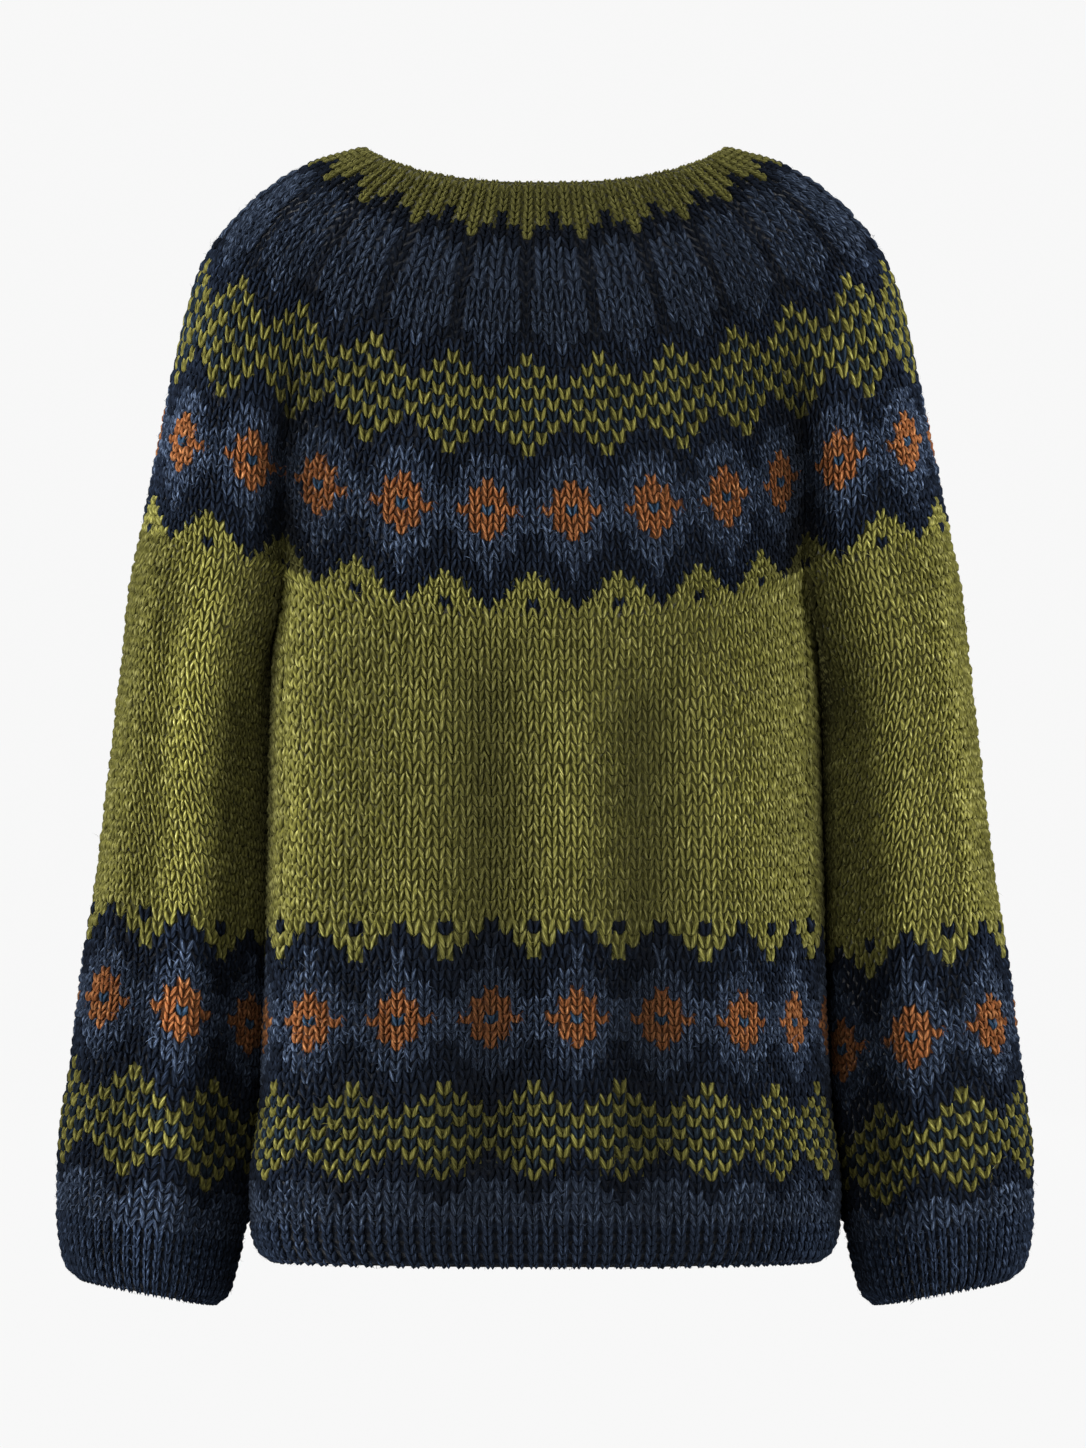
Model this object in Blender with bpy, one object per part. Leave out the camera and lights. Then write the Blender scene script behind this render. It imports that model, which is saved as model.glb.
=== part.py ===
"""A circular-yoke fair isle jumper, hollow and in its worn form.

Each piece is one knitted tube with a wall of real thickness: the neckband, the yoke,
the body, the hem band, two sleeves and two cuffs. A tube is a loft through rings that
are worked out, stitch by stitch and row by row, from the sections tabled below. The
camera side, -Y, is the jumper's back; +Z is up; the origin is in the middle of the
neck opening, level with the shoulders.
"""

import math

import bpy
import numpy as np

# Driving dimensions, in millimetres unless a name says stitches or rows.
MM = 0.001
WALL = 3.0
SEAM_GAP = 0.35
CORNER_GAP = 5.2
RIB_RELIEF = 1.0
PETAL_RELIEF = 1.5

YOKE_STITCHES = 144
BODY_STITCHES = 108
SLEEVE_STITCHES = 42
REPEAT_STITCHES = 6
BACK_HALF_STITCHES = 21
UNDERARM_STITCHES = 12
SLEEVE_TOP_STITCHES = 30

NECKBAND_ROWS = 3.0
YOKE_ROWS = 38.0
BODY_ROWS = 51.0
HEM_BAND_FROM_ROW = 48.0
SLEEVE_ROWS = 59.0
CUFF_FROM_ROW = 54.0

# The pattern sits this many stitches to the right of the middle of the back.
PATTERN_SHIFT = 1.5

# Where the arm leaves the body, as an angle from the arm's inner side.
ARM_CREASE_ANGLE = math.radians(45.0)
SLEEVE_TWIST = math.radians(40.0)
TWIST_OVER_ROWS = 35.0
SLEEVE_ROUNDS_OVER_ROWS = 12.0
UNDERARM_DIP = 6.0
UNDERARM_PUSH_STITCHES = 6.0
UNDERARM_TURN_ROWS = 0.8
UNDERARM_TURN = 3.0
FOLD_RAMP_ROWS = 8.0

HEM_Z = -637.0
CUFF_MIDDLE_X = 229.0
CUFF_MIDDLE_Z = -657.0
CUFF_TILT = 0.183

# How fast a ring drops from the shoulder line to the middle of the back or front.
RING_DROP_POWER = 1.286
ARC_SAMPLES = 240
SAME_POINT = 0.01
SHARP_ANGLE = math.radians(50.0)
LOFT_STITCHES = 2
SLEEVE_LOFT_STITCHES = 1
NECK_LOFT_STITCHES = 1
RIB_LOFT_STITCHES = 0.5


def table(columns, *rows):
    """A short table as one array for each named column."""
    values = np.array(rows, float)
    return {name: values[:, i] for i, name in enumerate(columns.split())}


# The rings of the yoke, from the neck edge to the underarm. width is the half width
# over both arms; torso, crease and fold shape the valley between body and arm.
YOKE_RINGS = table(
    "row   width  back  front square torso crease fold  z_back z_side z_front",
    (0.0, 106.0, 88.0, 92.0, 2.35, 165.0, 137.0, 0.00, -26.0, 0.0, -60.0),
    (5.0, 137.0, 97.0, 100.0, 2.35, 165.0, 137.0, 0.00, -56.6, -9.5, -90.0),
    (16.5, 197.5, 108.0, 112.0, 2.05, 165.0, 137.0, 0.12, -126.0, -67.0, -156.0),
    (24.5, 214.5, 112.0, 119.0, 2.00, 160.0, 143.0, 0.55, -176.4, -131.0, -204.0),
    (29.5, 221.5, 114.0, 121.0, 2.00, 159.4, 147.0, 0.80, -211.0, -165.0, -236.0),
    (38.0, 233.0, 115.0, 121.0, 2.00, 158.0, 148.0, 1.00, -269.0, -223.0, -288.0),
)

# The rings of the body, from the underarm to the hem. square is 2 for an ellipse, and
# more for fuller corners.
BODY_RINGS = table(
    "row   width  back   front  square",
    (0.0, 158.0, 115.0, 121.0, 2.0),
    (0.8, 155.4, 115.0, 120.6, 2.02),
    (3.0, 155.8, 115.0, 121.0, 2.1),
    (10.0, 156.8, 114.0, 120.0, 2.35),
    (25.0, 159.0, 111.0, 117.0, 2.6),
    (38.0, 163.0, 109.0, 113.0, 2.6),
    (45.0, 168.5, 109.0, 112.0, 2.5),
    (48.0, 167.5, 108.5, 111.0, 2.5),
    (50.2, 164.5, 106.5, 109.0, 2.5),
    (51.0, 160.0, 103.0, 105.0, 2.5),
)

# The rings of a sleeve, from the underarm to the cuff's edge. outer and inner are
# distances from the middle of the body; forward is the arm's reach to the front.
SLEEVE_RINGS = table(
    "row   outer  inner  half_depth forward",
    (0.0, 233.0, 157.0, 60.0, 6.0),
    (4.0, 239.0, 156.5, 60.0, 8.0),
    (10.0, 244.5, 157.5, 60.0, 12.0),
    (27.0, 260.0, 158.6, 60.0, 21.0),
    (33.0, 267.0, 159.8, 61.0, 23.0),
    (43.0, 276.0, 163.6, 62.0, 26.0),
    (49.0, 281.5, 168.0, 61.5, 27.0),
    (53.0, 282.0, 173.5, 60.0, 28.0),
    (56.0, 280.5, 178.5, 56.0, 28.0),
    (58.2, 277.0, 183.0, 51.0, 28.0),
    (59.0, 271.0, 188.0, 46.0, 28.0),
)

# Soft lengthwise folds. at is a stitch, counted round from the middle of the back;
# depth is out of the cloth, so a trough is negative.
BODY_FOLDS = table(
    "at    width depth  from_row to_row",
    (-14.0, 2.0, -4.0, 0.0, 40.0),
    (-9.8, 2.0, 3.0, 2.0, 38.0),
    (-4.6, 2.6, -6.0, 0.0, 43.0),
    (1.4, 2.4, 3.5, 2.0, 40.0),
    (7.0, 2.6, -6.5, 1.0, 45.0),
    (13.0, 3.0, 4.0, 2.0, 42.0),
    (41.0, 2.6, -5.0, 2.0, 42.0),
    (47.0, 2.4, 3.0, 4.0, 36.0),
    (52.0, 2.8, -6.0, 0.0, 38.0),
    (60.5, 2.4, -4.5, 3.0, 44.0),
    (66.0, 2.6, 3.5, 2.0, 40.0),
    (70.5, 2.2, -4.5, 1.0, 36.0),
)

# The same for the sleeves; at is an angle in degrees from the arm's inner side,
# round by the back.
LEFT_SLEEVE_FOLDS = table(
    "at     width depth  from_row to_row",
    (48.0, 19.0, -3.5, 2.0, 44.0),
    (90.0, 19.0, 3.4, 0.0, 50.0),
    (130.0, 19.0, -3.2, 0.0, 46.0),
    (208.0, 20.0, -3.0, 4.0, 40.0),
    (250.0, 19.0, 2.5, 2.0, 44.0),
    (292.0, 19.0, -2.5, 6.0, 38.0),
)
RIGHT_SLEEVE_FOLDS = table(
    "at     width depth  from_row to_row",
    (56.0, 18.0, -3.5, 4.0, 46.0),
    (100.0, 19.0, 3.0, 0.0, 44.0),
    (140.0, 16.0, -2.0, 2.0, 48.0),
    (218.0, 18.0, -3.0, 3.0, 42.0),
    (262.0, 17.0, 2.5, 2.0, 40.0),
    (296.0, 18.0, -2.0, 5.0, 40.0),
)

# The rings at which each piece is lofted, in rows.
NECKBAND_LOFT = (0.0, 1.0, NECKBAND_ROWS)
YOKE_LOFT = (NECKBAND_ROWS, 5.0, 6.5, 11.0, 14.5, 16.5, 20.5, 24.5, 29.5, 34.0, YOKE_ROWS)
BODY_LOFT = (0.0, 0.8, 3.0, 7.0, 12.0, 18.0, 24.0, 30.0, 36.0, 42.0, HEM_BAND_FROM_ROW)
HEM_LOFT = (HEM_BAND_FROM_ROW, 50.2, BODY_ROWS)
SLEEVE_LOFT = (0.0, 0.8, 3.0, 7.0, 12.0, 18.0, 24.0, 30.0, 36.0, 42.0, 48.0, CUFF_FROM_ROW)
CUFF_LOFT = (CUFF_FROM_ROW, 58.2, SLEEVE_ROWS)
PETALS_FROM_ROW = 6.0
PETALS_TO_ROW = 15.0

OLIVE = (0.085, 0.083, 0.022)
NAVY = (0.014, 0.019, 0.031)
LIGHT_NAVY = (0.030, 0.040, 0.062)
MARL_ROUGHNESS = 0.95


def read(rings, column, row):
    """A column of a table at any row, on a smooth curve that never overshoots."""
    at, value = rings["row"], rings[column]
    step = np.diff(value) / np.diff(at)
    slope = np.zeros(len(at))
    both = step[:-1] * step[1:] > 0
    slope[1:-1][both] = 2 * (step[:-1] * step[1:])[both] / (step[:-1] + step[1:])[both]
    slope[0], slope[-1] = step[0], step[-1]
    i = int(np.clip(np.searchsorted(at, row) - 1, 0, len(at) - 2))
    span = at[i + 1] - at[i]
    t = (row - at[i]) / span
    return (
        (2 * t**3 - 3 * t**2 + 1) * value[i]
        + (t**3 - 2 * t**2 + t) * span * slope[i]
        + (3 * t**2 - 2 * t**3) * value[i + 1]
        + (t**3 - t**2) * span * slope[i + 1]
    )


def ease(t):
    """0 below 0, 1 above 1, and a soft step between."""
    t = np.clip(t, 0.0, 1.0)
    return t * t * (3 - 2 * t)


def oval(width, back, front, square):
    """A rounded outline as a function of the turn from the middle of the back."""

    def at(turn):
        across, along = np.sin(turn), np.cos(turn)
        depth = np.where(along > 0, back, front)
        x = width * np.sign(across) * np.abs(across) ** (2 / square)
        y = -depth * np.sign(along) * np.abs(along) ** (2 / square)
        return np.stack([x, y], axis=-1)

    return at


def arm_oval(middle, half_width, half_depth, forward):
    """The right arm's outline as a function of the turn from its inner side."""

    def at(turn):
        x = middle - half_width * np.cos(turn)
        y = forward - half_depth * np.sin(turn)
        return np.stack([x, y], axis=-1)

    return at


def evenly(curve, start, end, share):
    """Points at shares of the length of a curve between two turns."""
    turns = np.linspace(start, end, ARC_SAMPLES)
    points = curve(turns)
    lengths = np.concatenate([[0.0], np.cumsum(np.linalg.norm(np.diff(points, axis=0), axis=1))])
    return curve(np.interp(share * lengths[-1], lengths, turns))


def stretch_by_stretch(stitch, stretches):
    """Plan points for stitches, each stretch being (first, last, curve, start, end)."""
    points = np.zeros((len(stitch), 2))
    for first, last, curve, start, end in stretches:
        here = (stitch >= first) & (stitch <= last)
        points[here] = evenly(curve, start, end, (stitch[here] - first) / (last - first))
    return points


def shifted(stitch):
    """Where a stitch of the back lies, because the pattern is off the middle."""
    inside = np.abs(stitch) < BACK_HALF_STITCHES
    ease_out = np.cos(math.pi * stitch / (2 * BACK_HALF_STITCHES)) ** 2
    return np.where(inside, stitch + PATTERN_SHIFT * ease_out, stitch)


def ring_drop(stitch):
    """1 in the middle of the back or front of the yoke and 0 on the shoulder line."""
    quarter = YOKE_STITCHES / 4
    near = np.abs(np.mod(stitch + quarter, 2 * quarter) - quarter)
    return (1 + np.cos(math.pi * (near / quarter) ** RING_DROP_POWER)) / 2


def yoke_height(stitch, row):
    """Z over the yoke's stitches, lowest in the middle of the back and front."""
    quarter = YOKE_STITCHES / 4
    on_back = np.abs(stitch) <= quarter
    side = read(YOKE_RINGS, "z_side", row)
    middle = np.where(on_back, read(YOKE_RINGS, "z_back", row), read(YOKE_RINGS, "z_front", row))
    return side + (middle - side) * ring_drop(stitch)


def torso_and_arms(row):
    """The yoke's outline where body and arms part: torso, arm and their crease."""
    width, torso, crease = (read(YOKE_RINGS, name, row) for name in ("width", "torso", "crease"))
    back, front = read(YOKE_RINGS, "back", row), read(YOKE_RINGS, "front", row)
    turn = math.asin(crease / torso)
    y_back, y_front = back * math.cos(turn), front * math.cos(turn)
    half_width = (width - crease) / (1 + math.cos(ARM_CREASE_ANGLE))
    half_depth = (y_front + y_back) / (2 * math.sin(ARM_CREASE_ANGLE))
    arm = arm_oval(width - half_width, half_width, half_depth, (y_front - y_back) / 2)
    return oval(torso, back, front, 2.0), turn, arm


def yoke_points(stitch, row):
    """The yoke's outer side. Stitches run from the middle of the back to the right."""
    stitch = np.asarray(stitch, float)
    stitch = np.mod(stitch + YOKE_STITCHES / 4, YOKE_STITCHES) - YOKE_STITCHES / 4
    lies_at = shifted(stitch)
    width, back, front, square = (
        read(YOKE_RINGS, name, row) for name in ("width", "back", "front", "square")
    )
    round_ring = oval(width, back, front, square)
    quarter = YOKE_STITCHES / 4
    whole = stretch_by_stretch(
        lies_at,
        (
            (-quarter, quarter, round_ring, -math.pi / 2, math.pi / 2),
            (quarter, 3 * quarter, round_ring, math.pi / 2, 3 * math.pi / 2),
        ),
    )
    torso, turn, arm = torso_and_arms(row)
    edge, arm_end = BACK_HALF_STITCHES, BACK_HALF_STITCHES + SLEEVE_TOP_STITCHES
    front_end = YOKE_STITCHES - arm_end
    near = np.where(lies_at < -edge, -lies_at, lies_at)
    near = np.where(near > front_end, YOKE_STITCHES - near, near)
    left = (lies_at < -edge) | (lies_at > front_end)
    parted = stretch_by_stretch(
        near,
        (
            (-edge, edge, torso, -turn, turn),
            (edge, arm_end, arm, ARM_CREASE_ANGLE, 2 * math.pi - ARM_CREASE_ANGLE),
            (arm_end, front_end, torso, math.pi - turn, math.pi + turn),
        ),
    )
    parted[left, 0] *= -1
    plan = whole + (parted - whole) * read(YOKE_RINGS, "fold", row)
    return np.column_stack([plan, yoke_height(lies_at, row)])


def underarm_height(share):
    """Z along the underarm, from the back crease (0) to the front one (1)."""
    first, last = BACK_HALF_STITCHES, BACK_HALF_STITCHES + SLEEVE_TOP_STITCHES
    ends = [yoke_height(np.array([float(s)]), YOKE_ROWS)[0] for s in (first, last)]
    return ends[0] + (ends[1] - ends[0]) * share - UNDERARM_DIP * np.sin(math.pi * share)


def folds_at(folds, place, turn, row):
    """How far the folds lift the cloth at places round a tube whose turn is given."""
    total = np.zeros(len(place))
    for at, width, depth, first, last in zip(*folds.values()):
        away = np.mod(place - at + turn / 2, turn) - turn / 2
        rise = ease((row - first) / FOLD_RAMP_ROWS) * (1 - ease((row - last) / FOLD_RAMP_ROWS))
        total += depth * rise * np.exp(-0.5 * (away / width) ** 2)
    return total


def body_points(stitch, row):
    """The body's outer side. Stitches run from the middle of the back to the right."""
    edge = BACK_HALF_STITCHES
    stitch = np.mod(np.asarray(stitch, float) + edge, BODY_STITCHES) - edge
    lies_at = shifted(stitch)
    width, back, front, square = (
        read(BODY_RINGS, name, row) for name in ("width", "back", "front", "square")
    )
    turn = math.asin(YOKE_RINGS["crease"][-1] / YOKE_RINGS["torso"][-1])
    ring = oval(width, back, front, square)
    arm_end = edge + UNDERARM_STITCHES
    front_end = BODY_STITCHES - arm_end
    plan = stretch_by_stretch(
        lies_at,
        (
            (-edge, edge, ring, -turn, turn),
            (edge, arm_end, ring, turn, math.pi - turn),
            (arm_end, front_end, ring, math.pi - turn, math.pi + turn),
            (front_end, BODY_STITCHES - edge, ring, math.pi + turn, 2 * math.pi - turn),
        ),
    )
    on_yoke = np.where(lies_at <= edge, lies_at, lies_at + SLEEVE_TOP_STITCHES - UNDERARM_STITCHES)
    top = yoke_height(on_yoke, YOKE_ROWS)
    right = (lies_at > edge) & (lies_at < arm_end)
    left = lies_at > front_end
    top[right] = underarm_height((lies_at[right] - edge) / UNDERARM_STITCHES)
    top[left] = underarm_height((BODY_STITCHES - edge - lies_at[left]) / UNDERARM_STITCHES)
    height = top + (HEM_Z - top) * row / BODY_ROWS
    away = plan / np.array([width, (back + front) / 2]) ** 2
    away /= np.linalg.norm(away, axis=1, keepdims=True)
    plan = plan + away * folds_at(BODY_FOLDS, lies_at, BODY_STITCHES, row)[:, None]
    return np.column_stack([plan, height])


def right_sleeve_points(stitch, row, folds):
    """The right sleeve's outer side. Stitches run from the back crease, over the arm,
    to the front crease, and then along the underarm to the back again."""
    stitch = np.mod(np.asarray(stitch, float), SLEEVE_STITCHES)
    top_arc = stitch <= SLEEVE_TOP_STITCHES
    seam = np.zeros((len(stitch), 3))
    seam[top_arc] = yoke_points(stitch[top_arc] + BACK_HALF_STITCHES, YOKE_ROWS)
    on_body = BACK_HALF_STITCHES + SLEEVE_STITCHES - stitch[~top_arc]
    seam[~top_arc] = body_points(on_body, 0.0)
    past_front = np.clip(SLEEVE_TOP_STITCHES - stitch, 0, None)
    from_underarm = np.minimum(stitch, past_front) / UNDERARM_PUSH_STITCHES
    pushed = np.where(top_arc, 1 - ease(from_underarm), 1.0)
    push = UNDERARM_TURN * ease(row / UNDERARM_TURN_ROWS)
    outer, inner, half_depth, forward = (
        read(SLEEVE_RINGS, name, row) for name in ("outer", "inner", "half_depth", "forward")
    )
    middle, half_width = (outer + inner) / 2, (outer - inner) / 2
    arm = arm_oval(middle, half_width, half_depth, forward)
    turned = ARM_CREASE_ANGLE - SLEEVE_TWIST * ease(row / TWIST_OVER_ROWS)
    plan = evenly(arm, turned, turned + 2 * math.pi, stitch / SLEEVE_STITCHES)
    rounded = ease(row / SLEEVE_ROUNDS_OVER_ROWS)
    over_arm = np.where(top_arc, np.sin(math.pi * stitch / SLEEVE_TOP_STITCHES), 0.0)
    swell = over_arm * (outer - SLEEVE_RINGS["outer"][0])
    start = seam[:, :2] + np.column_stack([pushed * push + swell, np.zeros(len(stitch))])
    plan = start + (plan - start) * rounded
    away = (plan - [middle, forward]) / np.array([half_width, half_depth])
    place = np.degrees(np.arctan2(-away[:, 1], -away[:, 0]))
    away = away / np.array([half_width, half_depth])
    away /= np.linalg.norm(away, axis=1, keepdims=True)
    plan = plan + away * folds_at(folds, place, 360.0, row)[:, None]
    bottom = CUFF_MIDDLE_Z + CUFF_TILT * (plan[:, 0] - CUFF_MIDDLE_X)
    height = seam[:, 2] + (bottom - seam[:, 2]) * row / SLEEVE_ROWS
    return np.column_stack([plan, height])


def left_sleeve_points(stitch, row, folds):
    """The left sleeve, which hangs as the right one does, mirrored."""
    return right_sleeve_points(stitch, row, folds) * [-1, 1, 1]


def grid(points, stitches, rows):
    """An array of points, ring by ring."""
    return np.stack([points(stitches, row) for row in rows])


def facing(rings, inside_out):
    """Unit normals over a closed grid of rings, pointing out of the tube."""
    across = np.roll(rings, -1, axis=1) - np.roll(rings, 1, axis=1)
    down = np.gradient(rings, axis=0)
    normals = np.cross(down, across)
    if inside_out:
        normals = -normals
    return normals / np.linalg.norm(normals, axis=2, keepdims=True)


def shared_facing(pieces):
    """Makes the normals of rings that meet the same, so that walls meet edge to edge."""
    ends = [(piece, ring) for piece in pieces for ring in (0, -1)]
    corners = np.concatenate([piece["outer"][ring] for piece, ring in ends])
    normals = np.concatenate([piece["normal"][ring] for piece, ring in ends])
    keys = np.round(corners / SAME_POINT).astype(int)
    _, same = np.unique(keys, axis=0, return_inverse=True)
    total = np.zeros((same.max() + 1, 3))
    np.add.at(total, same.reshape(-1), normals)
    total /= np.linalg.norm(total, axis=1, keepdims=True)
    joined = total[same.reshape(-1)]
    start = 0
    for piece, ring in ends:
        count = len(piece["outer"][ring])
        piece["normal"][ring] = joined[start : start + count]
        start += count


def match_chords(trim, ring, neighbour, neighbour_ring):
    """Lays a trim's seam ring on the straight edges of the coarser ring it meets."""
    for field in ("outer", "normal"):
        coarse = neighbour[field][neighbour_ring]
        trim[field][ring] = np.column_stack(
            [
                np.interp(trim["stitches"], neighbour["stitches"], values, period=neighbour["around"])
                for values in coarse.T
            ]
        )


def halve_chords(piece, ring):
    """Lays every second point of a ring on the straight edge between its neighbours,
    as on the coarser rings that it meets."""
    for field in ("outer", "normal"):
        values = piece[field][ring]
        values[1::2] = (values[0::2] + np.roll(values[0::2], -1, axis=0)) / 2


def part_seam(rings, corners):
    """Draws a grid's first and last ring in by half a seam's gap. Where yoke, body and
    sleeve meet in one point the gap is wider, as it is before a knitter closes it."""
    rings = rings.copy()
    for end, inward in ((0, 1), (-1, -2)):
        step = rings[inward] - rings[end]
        gap = np.where(corners[end], CORNER_GAP, SEAM_GAP)[:, None]
        rings[end] = rings[end] + step / np.linalg.norm(step, axis=1, keepdims=True) * gap / 2
    return rings


def loft(piece, collection):
    """A tube with a wall: relief lifts its outer points over a plain inside."""
    name, normal, inside_out = piece["name"], piece["normal"], piece["mirrored"]
    seamed = part_seam(piece["outer"], piece["corners"])
    skin = seamed + normal * piece["relief"][..., None]
    lining = seamed - normal * WALL
    count, around = skin.shape[:2]
    points = np.concatenate([skin.reshape(-1, 3), lining.reshape(-1, 3)]) * MM
    inner_start = count * around
    faces = []
    for ring in range(count - 1):
        for i in range(around):
            j = (i + 1) % around
            a, b = ring * around + i, ring * around + j
            c, d = b + around, a + around
            faces.append((a, d, c, b))
            faces.append(tuple(inner_start + k for k in (a, b, c, d)))
    last = (count - 1) * around
    for i in range(around):
        j = (i + 1) % around
        faces.append((i, j, inner_start + j, inner_start + i))
        faces.append((last + j, last + i, inner_start + last + i, inner_start + last + j))
    if inside_out:
        faces = [face[::-1] for face in faces]
    mesh = bpy.data.meshes.new(name)
    mesh.from_pydata(points.tolist(), [], faces)
    mesh.shade_smooth()
    mesh.set_sharp_from_angle(angle=SHARP_ANGLE)
    mesh.materials.append(piece["material"])
    obj = bpy.data.objects.new(name, mesh)
    collection.objects.link(obj)
    return obj


def wool(name, colour):
    """Brushed wool, which hardly shines."""
    material = bpy.data.materials.new(name)
    material.use_nodes = True
    shader = material.node_tree.nodes["Principled BSDF"]
    shader.inputs["Base Color"].default_value = (*colour, 1.0)
    shader.inputs["Roughness"].default_value = MARL_ROUGHNESS
    shader.inputs["Metallic"].default_value = 0.0
    return material


def petal_relief(stitches, rows):
    """The yoke's petals stand proud of the grooves that part them."""
    groove = np.isclose(np.mod(stitches, REPEAT_STITCHES), REPEAT_STITCHES / 2)
    in_petals = np.array([PETALS_FROM_ROW <= row <= PETALS_TO_ROW for row in rows])
    return np.where(in_petals[:, None] & groove[None, :], -PETAL_RELIEF, 0.0)


def neck_rib_relief(stitches, rows):
    """One sunk column in each repeat of the neck's rib."""
    sunk = np.isclose(np.mod(stitches, REPEAT_STITCHES), 0.0)
    return np.repeat(np.where(sunk, -RIB_RELIEF, 0.0)[None, :], len(rows), axis=0)


def rib_relief(stitches, rows):
    """A ridge on each column of a hem's or cuff's rib, and a groove beside it."""
    ridge = np.isclose(np.mod(stitches, 1.0), 0.5)
    return np.repeat(np.where(ridge, 0.0, -RIB_RELIEF)[None, :], len(rows), axis=0)


def plain(stitches, rows):
    """No relief."""
    return np.zeros((len(rows), len(stitches)))


def remove_scene_objects():
    """Starts from an empty scene."""
    for obj in list(bpy.data.objects):
        bpy.data.objects.remove(obj)


def build():
    """Makes the eight tubes."""
    remove_scene_objects()
    collection = bpy.data.collections.new("fair_isle_jumper")
    bpy.context.scene.collection.children.link(collection)
    olive, navy = wool("olive_marl_wool", OLIVE), wool("dark_navy_wool", NAVY)
    light_navy = wool("light_navy_marl_wool", LIGHT_NAVY)

    def left(stitch, row):
        return left_sleeve_points(stitch, row, LEFT_SLEEVE_FOLDS)

    def right(stitch, row):
        return right_sleeve_points(stitch, row, RIGHT_SLEEVE_FOLDS)

    edge, arm_end = BACK_HALF_STITCHES, BACK_HALF_STITCHES + SLEEVE_TOP_STITCHES
    body_front = edge + UNDERARM_STITCHES
    yoke_corners = (-edge, edge, arm_end, YOKE_STITCHES - arm_end)
    body_corners = (-edge, edge, body_front, BODY_STITCHES - body_front)
    sleeve_corners = (0, SLEEVE_TOP_STITCHES)
    # name, surface, stitches round, loft step, first stitch, rings, relief, mirrored,
    # material, and the stitches at which three pieces meet on the first or last ring
    plan = (
        ("yoke", yoke_points, YOKE_STITCHES, LOFT_STITCHES, -edge, YOKE_LOFT, petal_relief,
         False, light_navy, {-1: yoke_corners}),
        ("body", body_points, BODY_STITCHES, LOFT_STITCHES, -edge, BODY_LOFT, plain,
         False, olive, {0: body_corners}),
        ("sleeve_left", left, SLEEVE_STITCHES, SLEEVE_LOFT_STITCHES, 0, SLEEVE_LOFT, plain,
         True, olive, {0: sleeve_corners}),
        ("sleeve_right", right, SLEEVE_STITCHES, SLEEVE_LOFT_STITCHES, 0, SLEEVE_LOFT, plain,
         False, olive, {0: sleeve_corners}),
        ("neckband", yoke_points, YOKE_STITCHES, NECK_LOFT_STITCHES, -edge, NECKBAND_LOFT,
         neck_rib_relief, False, olive, {}),
        ("hem_band", body_points, BODY_STITCHES, RIB_LOFT_STITCHES, -edge, HEM_LOFT,
         rib_relief, False, navy, {}),
        ("cuff_left", left, SLEEVE_STITCHES, RIB_LOFT_STITCHES, 0, CUFF_LOFT,
         rib_relief, True, navy, {}),
        ("cuff_right", right, SLEEVE_STITCHES, RIB_LOFT_STITCHES, 0, CUFF_LOFT,
         rib_relief, False, navy, {}),
    )
    pieces = {}
    for name, points, around, step, first, rows, relief, mirrored, material, corners in plan:
        stitches = np.arange(first, first + around, step, float)
        outer = grid(points, stitches, rows)
        pieces[name] = {
            "name": name,
            "around": around,
            "stitches": stitches,
            "outer": outer,
            "normal": facing(outer, mirrored),
            "relief": relief(stitches, rows),
            "corners": {end: np.isin(stitches, corners.get(end, ())) for end in (0, -1)},
            "mirrored": mirrored,
            "material": material,
        }
    shared_facing([pieces[name] for name in ("yoke", "body", "sleeve_left", "sleeve_right")])
    halve_chords(pieces["sleeve_left"], 0)
    halve_chords(pieces["sleeve_right"], 0)
    match_chords(pieces["neckband"], -1, pieces["yoke"], 0)
    match_chords(pieces["hem_band"], 0, pieces["body"], -1)
    match_chords(pieces["cuff_left"], 0, pieces["sleeve_left"], -1)
    match_chords(pieces["cuff_right"], 0, pieces["sleeve_right"], -1)
    for piece in pieces.values():
        loft(piece, collection)


build()
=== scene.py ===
# %% [markdown]
# # A fair isle jumper, knitted stitch by stitch
# The jumper is worked in the round from one thick, brushed wool in eight shades: a
# round yoke that splits into a body and two sleeves, with ribbed edges. The frame gives
# its solids, smooth tubes with a wall, and here each tube gets real stitches. A stitch
# is a V of two plump legs, so one V is modelled once and then laid thousands of times,
# each time in the yarn that the chart asks for.

import math

import bpy
import numpy as np
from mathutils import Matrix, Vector


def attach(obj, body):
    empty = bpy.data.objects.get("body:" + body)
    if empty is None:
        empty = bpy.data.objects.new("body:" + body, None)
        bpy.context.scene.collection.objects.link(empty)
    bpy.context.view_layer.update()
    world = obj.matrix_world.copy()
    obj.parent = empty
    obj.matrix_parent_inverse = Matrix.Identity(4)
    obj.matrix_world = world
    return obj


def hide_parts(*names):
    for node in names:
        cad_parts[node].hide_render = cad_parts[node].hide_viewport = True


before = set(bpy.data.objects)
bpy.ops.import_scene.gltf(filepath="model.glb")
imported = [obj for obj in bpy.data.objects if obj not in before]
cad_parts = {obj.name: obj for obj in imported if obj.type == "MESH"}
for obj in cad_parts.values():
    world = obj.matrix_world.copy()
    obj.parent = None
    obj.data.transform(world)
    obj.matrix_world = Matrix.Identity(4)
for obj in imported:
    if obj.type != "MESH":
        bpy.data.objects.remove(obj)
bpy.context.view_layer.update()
bpy.ops.object.select_all(action="DESELECT")
print("nodes:", sorted(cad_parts))

# %% [markdown]
# ## Sizes
# Places could be given in millimetres, but a knitter counts, and so does a chart. So
# they are in stitches and rows here, and tables turn them into millimetres. The same
# numbers shape the solids of the frame.

# %% Counts of the knitting
MM = 0.001
# Stitches: round each tube, in a repeat of the pattern, from the middle of the back to a
# crease, and under and over an arm.
YOKE_STITCHES, BODY_STITCHES, SLEEVE_STITCHES = 144, 108, 42
REPEAT, BACK_HALF, UNDERARM, SLEEVE_TOP = 6, 21, 12, 30
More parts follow.
